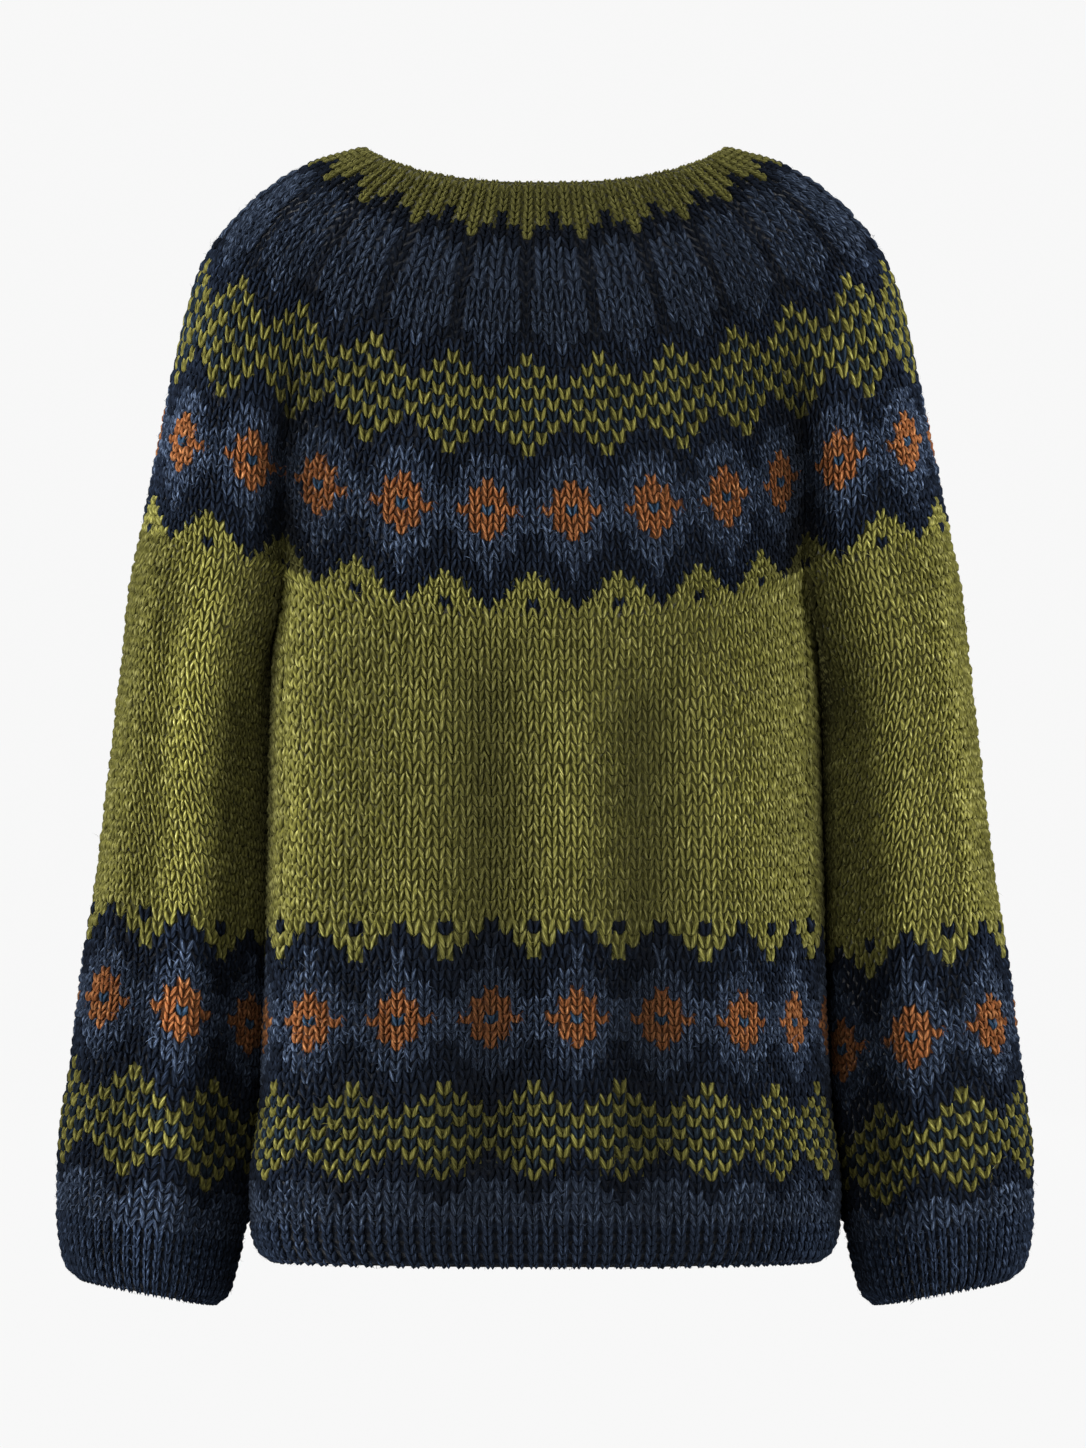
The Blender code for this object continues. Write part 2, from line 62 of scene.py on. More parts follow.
# Rows of each part, and the rows where the yoke, the hem and the cuffs start.
YOKE_ROWS, BODY_ROWS, SLEEVE_ROWS = 38, 51, 59
NECKBAND_ROWS, HEM_FROM, CUFF_FROM = 3, 48, 54
# Stitches by which the pattern is off the middle of the back, at the neck and in the
# body, and how evenly, before that fades towards the creases.
NECK_SHIFT, BODY_SHIFT, SHIFT_POWER = 0.9, 2.2, 4

# %% Angles, and sizes in millimetres
CREASE_ANGLE = math.radians(45)  # round an arm, from its inner side to a crease
SLEEVE_TWIST, TWIST_ROWS = math.radians(40), 35  # the turn back from it
ROUNDS_OVER = 12  # rows in which a sleeve takes its own outline
UNDERARM_DIP = 6  # in the middle of the underarm
UNDERARM_TURN, TURN_ROWS, PUSH_STITCHES = 3, 0.8, 6  # a sleeve stands off the body
SIDE_SAG = 14  # the rows hang lower at the sides, where the underarms let them drop
FOLD_RAMP = 8  # rows in which a fold fades
HEM_Z = -637
CUFF_X, CUFF_Z, CUFF_TILT = 229, -657, 0.183  # a point of the cuff's edge, and its slope
DROP_POWER = 1.286  # how flat the rows stay in the middle of the back
ARC_SAMPLES = 240


def table(columns, *rows):
    """A short table as one array for each named column."""
    values = np.array(rows, float)
    return {name: values[:, i] for i, name in enumerate(columns.split())}


YOKE_RINGS = table(
    "row   width  back  front square torso crease fold  z_back z_side z_front",
    (0, 106, 88, 92, 2.35, 165, 137, 0, -26, 0, -60),
    (5, 137, 97, 100, 2.35, 165, 137, 0, -56.6, -9.5, -90),
    (16.5, 197.5, 108, 112, 2.05, 165, 137, 0.12, -126, -67, -156),
    (24.5, 214.5, 112, 119, 2, 160, 143, 0.55, -176.4, -131, -204),
    (29.5, 221.5, 114, 121, 2, 159.4, 147, 0.8, -211, -165, -236),
    (38, 233, 115, 121, 2, 158, 148, 1, -269, -223, -288),
)
BODY_RINGS = table(
    "row   width  back   front  square",
    (0, 158, 115, 121, 2),
    (0.8, 155.4, 115, 120.6, 2.02),
    (3, 155.8, 115, 121, 2.1),
    (10, 156.8, 114, 120, 2.35),
    (25, 159, 111, 117, 2.6),
    (38, 163, 109, 113, 2.6),
    (45, 168.5, 109, 112, 2.5),
    (48, 167.5, 108.5, 111, 2.5),
    (50.2, 164.5, 106.5, 109, 2.5),
    (51, 160, 103, 105, 2.5),
)
SLEEVE_RINGS = table(
    "row   outer  inner  half_depth forward",
    (0, 233, 157, 60, 6),
    (4, 239, 156.5, 60, 8),
    (10, 244.5, 157.5, 60, 12),
    (27, 260, 158.6, 60, 21),
    (33, 267, 159.8, 61, 23),
    (43, 276, 163.6, 62, 26),
    (49, 281.5, 168, 61.5, 27),
    (53, 282, 173.5, 60, 28),
    (56, 280.5, 178.5, 56, 28),
    (58.2, 277, 183, 51, 28),
    (59, 271, 188, 46, 28),
)

# %% [markdown]
# ## Folds
# Thick wool falls from the yoke in long, soft troughs and ridges, no two alike. A cloth
# simulation needs a body to hang from, and puts them where it likes. So each is given as
# a row of a table: where it lies, how wide and deep it is, and between which rows it
# shows.

# %% The folds of body and sleeves
BODY_FOLDS = table(
    "at    width depth  from_row to_row",
    (-14, 2.6, -5.2, 0, 40),
    (-9.8, 2, 1.6, 2, 38),
    (-4.6, 2.6, -6, 0, 43),
    (1.4, 2.4, 3.5, 2, 40),
    (7, 2.6, -6.5, 1, 45),
    (13, 3, 4, 2, 42),
    (41, 2.6, -5, 2, 42),
    (47, 2.4, 3, 4, 36),
    (52, 2.8, -6, 0, 38),
    (60.5, 2.4, -4.5, 3, 44),
    (66, 2.6, 3.5, 2, 40),
    (70.5, 2.2, -4.5, 1, 36),
)
LEFT_SLEEVE_FOLDS = table(
    "at     width depth  from_row to_row",
    (48, 14, -3.2, 2, 44),
    (83, 11, 4.2, 0, 50),
    (110, 11, -4.2, 0, 46),
    (208, 18, -3, 4, 40),
    (250, 16, 2.5, 2, 44),
    (292, 16, -2.5, 6, 38),
)
RIGHT_SLEEVE_FOLDS = table(
    "at     width depth  from_row to_row",
    (52, 16, -4, 4, 46),
    (90, 13, 3, 0, 42),
    (108, 8, -1.8, 6, 44),
    (124, 12, 2.2, 2, 48),
    (218, 17, -3, 3, 42),
    (262, 16, 2.5, 2, 40),
    (296, 17, -2, 5, 40),
)

# %% [markdown]
# ## The form of each tube
# A mesh could be lofted through rings, but a stitch has to find its own place on it. So
# these functions give a point of the knitting for a stitch and a row. The yoke's rings
# start as one rounded outline and part softly into a body and two arms. The body and the
# sleeves start on its last ring and run down to their edges.

# %% Curves


def read(rings, column, row):
    """A column of a table at any row, on a smooth curve that never overshoots."""
    at, value = rings["row"], rings[column]
    step = np.diff(value) / np.diff(at)
    slope = np.zeros(len(at))
    both = step[:-1] * step[1:] > 0
    slope[1:-1][both] = 2 * (step[:-1] * step[1:])[both] / (step[:-1] + step[1:])[both]
    slope[0], slope[-1] = step[0], step[-1]
    i = int(np.clip(np.searchsorted(at, row) - 1, 0, len(at) - 2))
    span = at[i + 1] - at[i]
    t = (row - at[i]) / span
    return (
        (2 * t**3 - 3 * t**2 + 1) * value[i]
        + (t**3 - 2 * t**2 + t) * span * slope[i]
        + (3 * t**2 - 2 * t**3) * value[i + 1]
        + (t**3 - t**2) * span * slope[i + 1]
    )


def read_all(rings, columns, row):
    """Several columns of a table at one row."""
    return [read(rings, column, row) for column in columns.split()]


def ease(t):
    """0 below 0, 1 above 1, and a soft step between."""
    t = np.clip(t, 0.0, 1.0)
    return t * t * (3 - 2 * t)


def apart(place, at, turn):
    """How far places lie from another one round a tube, the shorter way."""
    return np.mod(place - at + turn / 2, turn) - turn / 2


def unit(vectors):
    """Vectors of length one in the same directions."""
    return vectors / np.linalg.norm(vectors, axis=-1, keepdims=True)


def oval(width, back, front, square):
    """A rounded outline as a function of the turn from the middle of the back."""

    def at(turn):
        across, along = np.sin(turn), np.cos(turn)
        depth = np.where(along > 0, back, front)
        x = width * np.sign(across) * np.abs(across) ** (2 / square)
        y = -depth * np.sign(along) * np.abs(along) ** (2 / square)
        return np.stack([x, y], axis=-1)

    return at


def arm_oval(middle, half_width, half_depth, forward):
    """The right arm's outline as a function of the turn from its inner side."""

    def at(turn):
        x = middle - half_width * np.cos(turn)
        y = forward - half_depth * np.sin(turn)
        return np.stack([x, y], axis=-1)

    return at


def evenly(curve, start, end, share):
    """Points at shares of the length of a curve between two turns."""
    turns = np.linspace(start, end, ARC_SAMPLES)
    steps = np.linalg.norm(np.diff(curve(turns), axis=0), axis=1)
    lengths = np.concatenate([[0.0], np.cumsum(steps)])
    return curve(np.interp(share * lengths[-1], lengths, turns))


def stretch_by_stretch(stitch, *stretches):
    """Plan points for stitches, each stretch being (first, last, curve, start, end)."""
    points = np.zeros((len(stitch), 2))
    for first, last, curve, start, end in stretches:
        here = (stitch >= first) & (stitch <= last)
        points[here] = evenly(curve, start, end, (stitch[here] - first) / (last - first))
    return points


# %% The yoke


def shifted(stitch, row):
    """Where a stitch of the back lies: off the middle, and more so further down."""
    shift = NECK_SHIFT + (BODY_SHIFT - NECK_SHIFT) * min(row / YOKE_ROWS, 1.0)
    fade = (1 - (stitch / BACK_HALF) ** SHIFT_POWER) ** 2
    return np.where(np.abs(stitch) < BACK_HALF, stitch + shift * fade, stitch)


def yoke_height(stitch, row):
    """Z over the yoke's stitches, lowest in the middle of the back and front."""
    quarter = YOKE_STITCHES / 4
    near = np.abs(apart(stitch, 0, 2 * quarter))
    drop = (1 + np.cos(math.pi * (near / quarter) ** DROP_POWER)) / 2
    side, back, front = read_all(YOKE_RINGS, "z_side z_back z_front", row)
    middle = np.where(np.abs(stitch) <= quarter, back, front)
    return side + (middle - side) * drop


def torso_and_arms(row):
    """The yoke's outline where body and arms part: torso, arm and their crease."""
    width, torso, crease, back, front = read_all(YOKE_RINGS, "width torso crease back front", row)
    turn = math.asin(crease / torso)
    y_back, y_front = back * math.cos(turn), front * math.cos(turn)
    half_width = (width - crease) / (1 + math.cos(CREASE_ANGLE))
    half_depth = (y_front + y_back) / (2 * math.sin(CREASE_ANGLE))
    arm = arm_oval(width - half_width, half_width, half_depth, (y_front - y_back) / 2)
    return oval(torso, back, front, 2.0), turn, arm


def yoke_points(stitch, row):
    """The yoke's outer side. Stitches run from the middle of the back to the right."""
    quarter = YOKE_STITCHES / 4
    stitch = np.mod(np.asarray(stitch, float) + quarter, YOKE_STITCHES) - quarter
    lies_at = shifted(stitch, row)
    ring = oval(*read_all(YOKE_RINGS, "width back front square", row))
    whole = stretch_by_stretch(
        lies_at,
        (-quarter, quarter, ring, -math.pi / 2, math.pi / 2),
        (quarter, 3 * quarter, ring, math.pi / 2, 3 * math.pi / 2),
    )
    torso, turn, arm = torso_and_arms(row)
    arm_end = BACK_HALF + SLEEVE_TOP
    front_end = YOKE_STITCHES - arm_end
    near = np.where(lies_at < -BACK_HALF, -lies_at, lies_at)
    near = np.where(near > front_end, YOKE_STITCHES - near, near)
    left = (lies_at < -BACK_HALF) | (lies_at > front_end)
    parted = stretch_by_stretch(
        near,
        (-BACK_HALF, BACK_HALF, torso, -turn, turn),
        (BACK_HALF, arm_end, arm, CREASE_ANGLE, 2 * math.pi - CREASE_ANGLE),
        (arm_end, front_end, torso, math.pi - turn, math.pi + turn),
    )
    parted[left, 0] *= -1
    plan = whole + (parted - whole) * read(YOKE_RINGS, "fold", row)
    return np.column_stack([plan, yoke_height(lies_at, row)])


# %% The body and the sleeves


def folds_at(folds, place, turn, row):
    """How far the folds lift the cloth at places round a tube whose turn is given."""
    total = np.zeros(len(place))
    for at, width, depth, first, last in zip(*folds.values()):
        rise = ease((row - first) / FOLD_RAMP) * (1 - ease((row - last) / FOLD_RAMP))
        total += depth * rise * np.exp(-0.5 * (apart(place, at, turn) / width) ** 2)
    return total


def underarm_height(share):
    """Z along the underarm, from the back crease (0) to the front one (1)."""
    creases = np.array([BACK_HALF, BACK_HALF + SLEEVE_TOP], float)
    back, front = yoke_height(creases, YOKE_ROWS)
    return back + (front - back) * share - UNDERARM_DIP * np.sin(math.pi * share)


def body_points(stitch, row):
    """The body's outer side. Stitches run from the middle of the back to the right."""
    stitch = np.mod(np.asarray(stitch, float) + BACK_HALF, BODY_STITCHES) - BACK_HALF
    lies_at = shifted(stitch, YOKE_ROWS)
    width, back, front, square = read_all(BODY_RINGS, "width back front square", row)
    turn = math.asin(YOKE_RINGS["crease"][-1] / YOKE_RINGS["torso"][-1])
    ring = oval(width, back, front, square)
    arm_end = BACK_HALF + UNDERARM
    front_end = BODY_STITCHES - arm_end
    plan = stretch_by_stretch(
        lies_at,
        (-BACK_HALF, BACK_HALF, ring, -turn, turn),
        (BACK_HALF, arm_end, ring, turn, math.pi - turn),
        (arm_end, front_end, ring, math.pi - turn, math.pi + turn),
        (front_end, BODY_STITCHES - BACK_HALF, ring, math.pi + turn, 2 * math.pi - turn),
    )
    on_yoke = np.where(lies_at <= BACK_HALF, lies_at, lies_at + SLEEVE_TOP - UNDERARM)
    top = yoke_height(on_yoke, YOKE_ROWS)
    right = (lies_at > BACK_HALF) & (lies_at < arm_end)
    left = lies_at > front_end
    top[right] = underarm_height((lies_at[right] - BACK_HALF) / UNDERARM)
    top[left] = underarm_height((BODY_STITCHES - BACK_HALF - lies_at[left]) / UNDERARM)
    height = top + (HEM_Z - top) * row / BODY_ROWS
    height -= SIDE_SAG * math.sin(math.pi * row / BODY_ROWS) * (plan[:, 0] / width) ** 2
    away = unit(plan / np.array([width, (back + front) / 2]) ** 2)
    plan = plan + away * folds_at(BODY_FOLDS, lies_at, BODY_STITCHES, row)[:, None]
    return np.column_stack([plan, height])


def right_sleeve_points(stitch, row, folds=RIGHT_SLEEVE_FOLDS):
    """The right sleeve. Stitches run from the back crease, over the arm, to the front
    crease, and then along the underarm to the back again."""
    stitch = np.mod(np.asarray(stitch, float), SLEEVE_STITCHES)
    top_arc = stitch <= SLEEVE_TOP
    seam = np.zeros((len(stitch), 3))
    seam[top_arc] = yoke_points(stitch[top_arc] + BACK_HALF, YOKE_ROWS)
    seam[~top_arc] = body_points(BACK_HALF + SLEEVE_STITCHES - stitch[~top_arc], 0.0)
    past_front = np.clip(SLEEVE_TOP - stitch, 0, None)
    pushed = np.where(top_arc, 1 - ease(np.minimum(stitch, past_front) / PUSH_STITCHES), 1.0)
    outer, inner, half_depth, forward = read_all(
        SLEEVE_RINGS, "outer inner half_depth forward", row
    )
    middle, half_width = (outer + inner) / 2, (outer - inner) / 2
    arm = arm_oval(middle, half_width, half_depth, forward)
    turned = CREASE_ANGLE - SLEEVE_TWIST * ease(row / TWIST_ROWS)
    plan = evenly(arm, turned, turned + 2 * math.pi, stitch / SLEEVE_STITCHES)
    over_arm = np.where(top_arc, np.sin(math.pi * stitch / SLEEVE_TOP), 0.0)
    wider = over_arm * (outer - SLEEVE_RINGS["outer"][0])
    push = pushed * UNDERARM_TURN * ease(row / TURN_ROWS) + wider
    start = seam[:, :2] + np.column_stack([push, np.zeros(len(stitch))])
    plan = start + (plan - start) * ease(row / ROUNDS_OVER)
    halves = np.array([half_width, half_depth])
    away = (plan - [middle, forward]) / halves
    place = np.degrees(np.arctan2(-away[:, 1], -away[:, 0]))
    plan = plan + unit(away / halves) * folds_at(folds, place, 360.0, row)[:, None]
    bottom = CUFF_Z + CUFF_TILT * (plan[:, 0] - CUFF_X)
    height = seam[:, 2] + (bottom - seam[:, 2]) * row / SLEEVE_ROWS
    return np.column_stack([plan, height])


def left_sleeve_points(stitch, row):
    """The left sleeve hangs as the right one does, mirrored, with its own folds."""
    return right_sleeve_points(stitch, row, LEFT_SLEEVE_FOLDS) * [-1, 1, 1]


# %% [markdown]
# ## A tube that can be read anywhere
# Thousands of stitches ask for points, so each tube is sampled once on a fine grid and
# read from there. At a free edge the knitting rolls over and runs a little way back up
# the inside, which gives neck, hem and cuffs their plump rims.

# %% How tubes are sampled, rolled and given painted light and shade
# The grid's step in stitches and rows, a rim's radius in mm, and how many stitches the
# form is smoothed over.
GRID, ROLL_RADIUS, SMOOTHED_OVER = 0.5, 3.6, 5
# Painted light and shade: how much paler the colour is painted for each mm that wool
# stands out of the smoothed form, and the powers by which painted shade deepens it where
# it faces inwards or, on the body, sideways.
PAINTED_PALER_PER_MM, SLEEVE_PAINTED_PALER_PER_MM = 0.1, 0.14
TURNED_IN_PAINTED_SHADE, SIDEWAYS_PAINTED_SHADE = 2.2, 16
PAINTED_LIGHT_FROM, PAINTED_LIGHT_TO, PAINTED_LIGHT_LEAST = 0.12, 1.35, 0.05
# Painted shade, each a place and a width in stitches, and a loss: on the body beside
# the left sleeve, and on a sleeve under its arm, down to one row and gone by another.
PAINTED_SHADE_BESIDE_SLEEVE = (-11, 4.5, 0.25)
PAINTED_SHADE_UNDER_ARM = (-3, 6, 0.92)
PAINTED_SHADE_UNDER_ARM_ROWS = {"sleeve_left": (4, 10), "sleeve_right": (8, 16)}
# A painted highlight along the left sleeve's ridge: its turn from the inner side and its
# width in degrees, its gain, and the loss to painted shade on the outer side.
PAINTED_HIGHLIGHT_RIDGE = (96, 10, 0.55, 0.4)

# %% Sampled tubes


class Tube:
    """One tube of knitting: its outer points, normals and row directions on a grid."""

    def __init__(self, name, points, around, rows, rolls_at, mirrored=False):
        self.name, self.around, self.rows = name, around, rows
        self.mirrored, self.rolls_at = mirrored, rolls_at
        stitches = np.arange(0, around, GRID)
        steps = np.arange(0, rows + GRID / 2, GRID)
        self.point = np.stack([points(stitches, row) for row in steps])
        across = np.roll(self.point, -1, axis=1) - np.roll(self.point, 1, axis=1)
        self.down = np.gradient(self.point, axis=0) / GRID
        self.normal = unit(np.cross(self.down, across) * (-1 if mirrored else 1))
        self.painted_light = self.painted_light_and_shade(stitches)

    def painted_light_and_shade(self, stitches):
        """Painted light and shade: paler where the wool stands out of the tube's smoothed form,
        darker in its hollows, where a sleeve and the body face each other, under the arms and
        beside the left sleeve, with a painted highlight on the left sleeve's ridge."""
        reach = np.arange(-2 * SMOOTHED_OVER, 2 * SMOOTHED_OVER + GRID, GRID)
        weight = np.exp(-0.5 * (reach / SMOOTHED_OVER) ** 2)
        steps = np.round(reach / GRID).astype(int)
        smooth = sum(w * np.roll(self.point, i, axis=1) for w, i in zip(weight, steps))
        proud = ((self.point - smooth / weight.sum()) * self.normal).sum(axis=2)
        proud -= np.median(proud, axis=1, keepdims=True)
        is_sleeve = self.around == SLEEVE_STITCHES
        per_mm = SLEEVE_PAINTED_PALER_PER_MM if is_sleeve else PAINTED_PALER_PER_MM
        sideways = self.normal[:, :, 0]
        inward = np.clip(-sideways * np.sign(self.point[:, :, 0]), 0, 1)
        painted_light = np.clip((1 + per_mm * proud) * (1 - inward**TURNED_IN_PAINTED_SHADE), PAINTED_LIGHT_FROM, PAINTED_LIGHT_TO)
        if is_sleeve:
            at, width, loss = PAINTED_SHADE_UNDER_ARM
            near = np.exp(-((apart(stitches, at, self.around) / width) ** 2))
            full, gone = PAINTED_SHADE_UNDER_ARM_ROWS[self.name]
            row = np.arange(len(painted_light))[:, None] * GRID
            painted_light = painted_light * (1 - loss * near * (1 - ease((row - full) / (gone - full))))
        if self.name == "sleeve_left":
            at, width, gain, loss = PAINTED_HIGHLIGHT_RIDGE
            out = (self.point - self.point.mean(axis=1, keepdims=True)) * [-1, 1, 1]
            turn = np.degrees(np.arctan2(-out[:, :, 1], -out[:, :, 0]))
            ridge = np.exp(-0.5 * ((turn - at) / width) ** 2)
            painted_light = painted_light * (1 + gain * ridge - loss * np.clip(-sideways, 0, 1) ** 2)
        if self.around == BODY_STITCHES:
            at, width, loss = PAINTED_SHADE_BESIDE_SLEEVE
            near = np.exp(-0.5 * (apart(stitches, at, self.around) / width) ** 2)
            painted_light = painted_light * (1 - loss * near) * (1 - sideways**SIDEWAYS_PAINTED_SHADE)
        return np.maximum(painted_light, PAINTED_LIGHT_LEAST)[..., None]

    def look_up(self, field, stitch, row):
        """A field of the grid between its points."""
        across = np.mod(stitch, self.around) / GRID
        along = np.clip(row, 0, self.rows) / GRID
        i, j = np.floor(across).astype(int), np.floor(along).astype(int)
        j = np.minimum(j, len(field) - 2)
        f, g = (across - i)[..., None], (along - j)[..., None]
        count = field.shape[1]
        i, k = i % count, (i + 1) % count
        upper = field[j, i] * (1 - f) + field[j, k] * f
        lower = field[j + 1, i] * (1 - f) + field[j + 1, k] * f
        return upper * (1 - g) + lower * g

    def at(self, stitch, row, depth=0.0):
        """Points and normals, set in by a depth in millimetres, rolled over free edges."""
        point, normal, down = (
            self.look_up(field, stitch, row) for field in (self.point, self.normal, self.down)
        )
        normal = unit(normal)
        pitch = np.linalg.norm(down, axis=-1, keepdims=True)
        over = (row - np.clip(row, 0, self.rows))[..., None]
        away, past = down / pitch * np.sign(over), np.abs(over) * pitch
        free = (over < 0) == (self.rolls_at == "top")
        angle = np.where(free, np.minimum(past / ROLL_RADIUS, math.pi), 0.0)
        back_up = np.where(free, np.maximum(past - ROLL_RADIUS * math.pi, 0.0), -past)
        turned = normal * np.cos(angle) + away * np.sin(angle)
        centre = point - normal * ROLL_RADIUS
        return centre + turned * (ROLL_RADIUS - depth) - away * back_up, turned


SLEEVE = (SLEEVE_STITCHES, SLEEVE_ROWS, "bottom")
yoke = Tube("yoke", yoke_points, YOKE_STITCHES, YOKE_ROWS, "top")
body = Tube("body", body_points, BODY_STITCHES, BODY_ROWS, "bottom")
sleeve_right = Tube("sleeve_right", right_sleeve_points, *SLEEVE)
sleeve_left = Tube("sleeve_left", left_sleeve_points, *SLEEVE, mirrored=True)
for tube in (yoke, body, sleeve_right, sleeve_left):
    row_mm = np.linalg.norm(tube.down, axis=2).mean()
    print(f"{tube.name}: {tube.around} stitches, {tube.rows} rows, {row_mm:.1f} mm a row")

# %% [markdown]
# ## The chart
# Fair isle is charted on squared paper, one letter for a stitch. A repeat is the same on
# both sides of its middle, so a line of the chart gives only the middle stitch and those
# beside it. A round yoke grows downwards, and the knitter adds stitches between its
# bands: a repeat has four at the neck, six in the checks, seven in the rust band and
# eight in the last zigzag. Rows differ in height from band to band. Colours could be
# painted on one cloth, but a chart lets every stitch be knitted in its own yarn.
# o olive, d dark navy, l light navy, r rust, s steel blue, y yellow olive, k slate,
# n the navy of the ribs.

# %% The bands that body, sleeves and yoke share
TIP = ("dddy",)
CHECKS = ("ddyk", "dyky", "ykyk", "kyky", "ykyk", "dyky", "ddyk", "dddy")
RUST_BAND = ("rlld", "rrll", "rrll", "srrl", "rrll", "rrll", "rlld")
FROM_OLIVE = ("dood", "ddoo", "lddo")
TO_RUST = ("lddd", "lldd", "llld")
TO_CHECKS = ("llld", "lldd", "lddd")
YARNS = {
    "o": "olive", "y": "yellow", "d": "dark", "l": "light", "n": "rib_navy",
    "k": "slate", "r": "rust", "s": "steel",
}

# %% The charts: from row, to row, stitches in a repeat, and the lines of the rows
# The first and last bands run on past the edge, because the knitting turns in there.
# The right sleeve was knitted a little longer before its pattern starts.
NECK_TO_ROW, PETALS_TO_ROW, CHECKS_TO_ROW = 5.0, 15.0, 44.4
YOKE_CHART = (
    (-1.875, NECK_TO_ROW, 4, 7 * ("ooo",) + 2 * ("doo",) + 2 * ("ddo",)),
    (NECK_TO_ROW, 10, 4, ("ldd",) + 4 * ("lld",)),
    (10, 16, 6, 4 * ("llld",) + ("lldd", "lddd")),
    (16, 17.1, 6, TIP),
    (17.1, 25.1, 6, CHECKS),
    (25.1, 27.05, 7, ("lldd", "llld")),
    (27.05, 32.05, 7, RUST_BAND),
    (32.05, 34.6, 7, TO_CHECKS),
    (34.6, 37.6, 8, ("ldddo", "dddoo", "ddooo", "doood")),
)
BODY_CHART = (
    (-0.4, 24, 7, 30 * ("oooo",)),
    (24, 27, 6, FROM_OLIVE),
    (27, 29.4, 7, TO_RUST),
    (29.4, 34, 7, RUST_BAND),
    (34, 36.5, 7, TO_CHECKS),
    (36.5, 37.6, 6, TIP),
    (37.6, CHECKS_TO_ROW, 6, CHECKS),
    (CHECKS_TO_ROW, 48, 6, ("lldd", "llld", "llll", "llll")),
    (48, 53.25, 6, 7 * ("nnnn",)),
)


def sleeve_chart(edges, plain_rows, above_cuff):
    """A sleeve's bands between rows, from its plain olive down past its cuff."""
    bands = (
        (8, plain_rows * ("ooooo",)), (6, FROM_OLIVE), (7, TO_RUST), (7, RUST_BAND),
        (7, TO_CHECKS), (6, TIP), (6, CHECKS), (6, above_cuff), (8, 9 * ("nnnnn",)),
    )
    return tuple((first, last, *band) for first, last, band in zip(edges, edges[1:], bands))


LEFT_SLEEVE_CHART = sleeve_chart(
    (-0.4, 28.9, 31.9, 34, 38.9, 41.4, 42.5, 50.1, 54, 61.4), 36,
    ("lldd", "llld") + 3 * ("llll",),
)
RIGHT_SLEEVE_CHART = sleeve_chart(
    (-0.4, 30.4, 33.4, 36.1, 41, 43.3, 44.4, 51.4, 54, 61.4), 38,
    ("lldd",) + 2 * ("llll",),
)


def from_middle(stitch, per_repeat):
    """How many stitches a stitch is from the middle of its repeat."""
    place = np.mod(stitch, per_repeat)
    return int(min(place, per_repeat - place))


def letter_at(chart, origin, stitch, row):
    """The chart's letter at any stitch and row of a tube."""
    first, last, per_repeat, lines = next((band for band in chart if row < band[1]), chart[-1])
    line = lines[int(np.clip((row - first) / (last - first) * len(lines), 0, len(lines) - 1))]
    return line[from_middle(round((stitch - origin) * per_repeat / REPEAT), per_repeat)]


for first, last, per_repeat, lines in YOKE_CHART[3:]:
    for line in lines:
        print("   ", line[:0:-1] + line)

# %% [markdown]
# ## One leg of a stitch
# Each stitch shows as two legs that meet at the bottom and lean apart. A leg is a plump
# strand: thin where it comes up through the stitch below, full in the middle, and
# dipping under the next row at its top. A bent tube with many sides would be rounder,
# but a cylinder with three is enough, ridge side up, because shading rounds it and it is
# laid over forty thousand times. It is cut in the middle, and each ring is then moved
# and resized.

# %% The leg, shaped from a cylinder
# Along the leg: how far out it leans in stitches, how far up it is in rows, its height
# over the cloth in mm, half its width in stitches, and half its thickness in mm. Its tip
# goes almost half a row into the row above.
LEG = table(
    "lean  up    height half_width half_thick",
    (0.05, -0.08, -0.3, 0, 0),
    (0.13, 0.17, 0.6, 0.18, 1.2),
    (0.25, 0.68, 0.8, 0.235, 1.5),
    (0.365, 1.14, 0.2, 0.19, 1.2),
    (0.45, 1.44, -1, 0, 0),
)
LEG_SIDES = 3
# A ring is moved this far off, so that none is picked twice by its height.
OUT_OF_THE_WAY = 10.0


def mode(name):
    """Goes over to Edit or Object mode."""
    bpy.ops.object.mode_set(mode=name)


def select_ring(mesh, height, near_axis):
    """Selects the leg's points at a height, either those on its axis or those round it."""
    for vertex in mesh.vertices:
        at_height = abs(vertex.co.z - height) < 1e-4
        on_axis = math.hypot(vertex.co.x, vertex.co.y) < 1e-4
        vertex.select = at_height and on_axis == near_axis


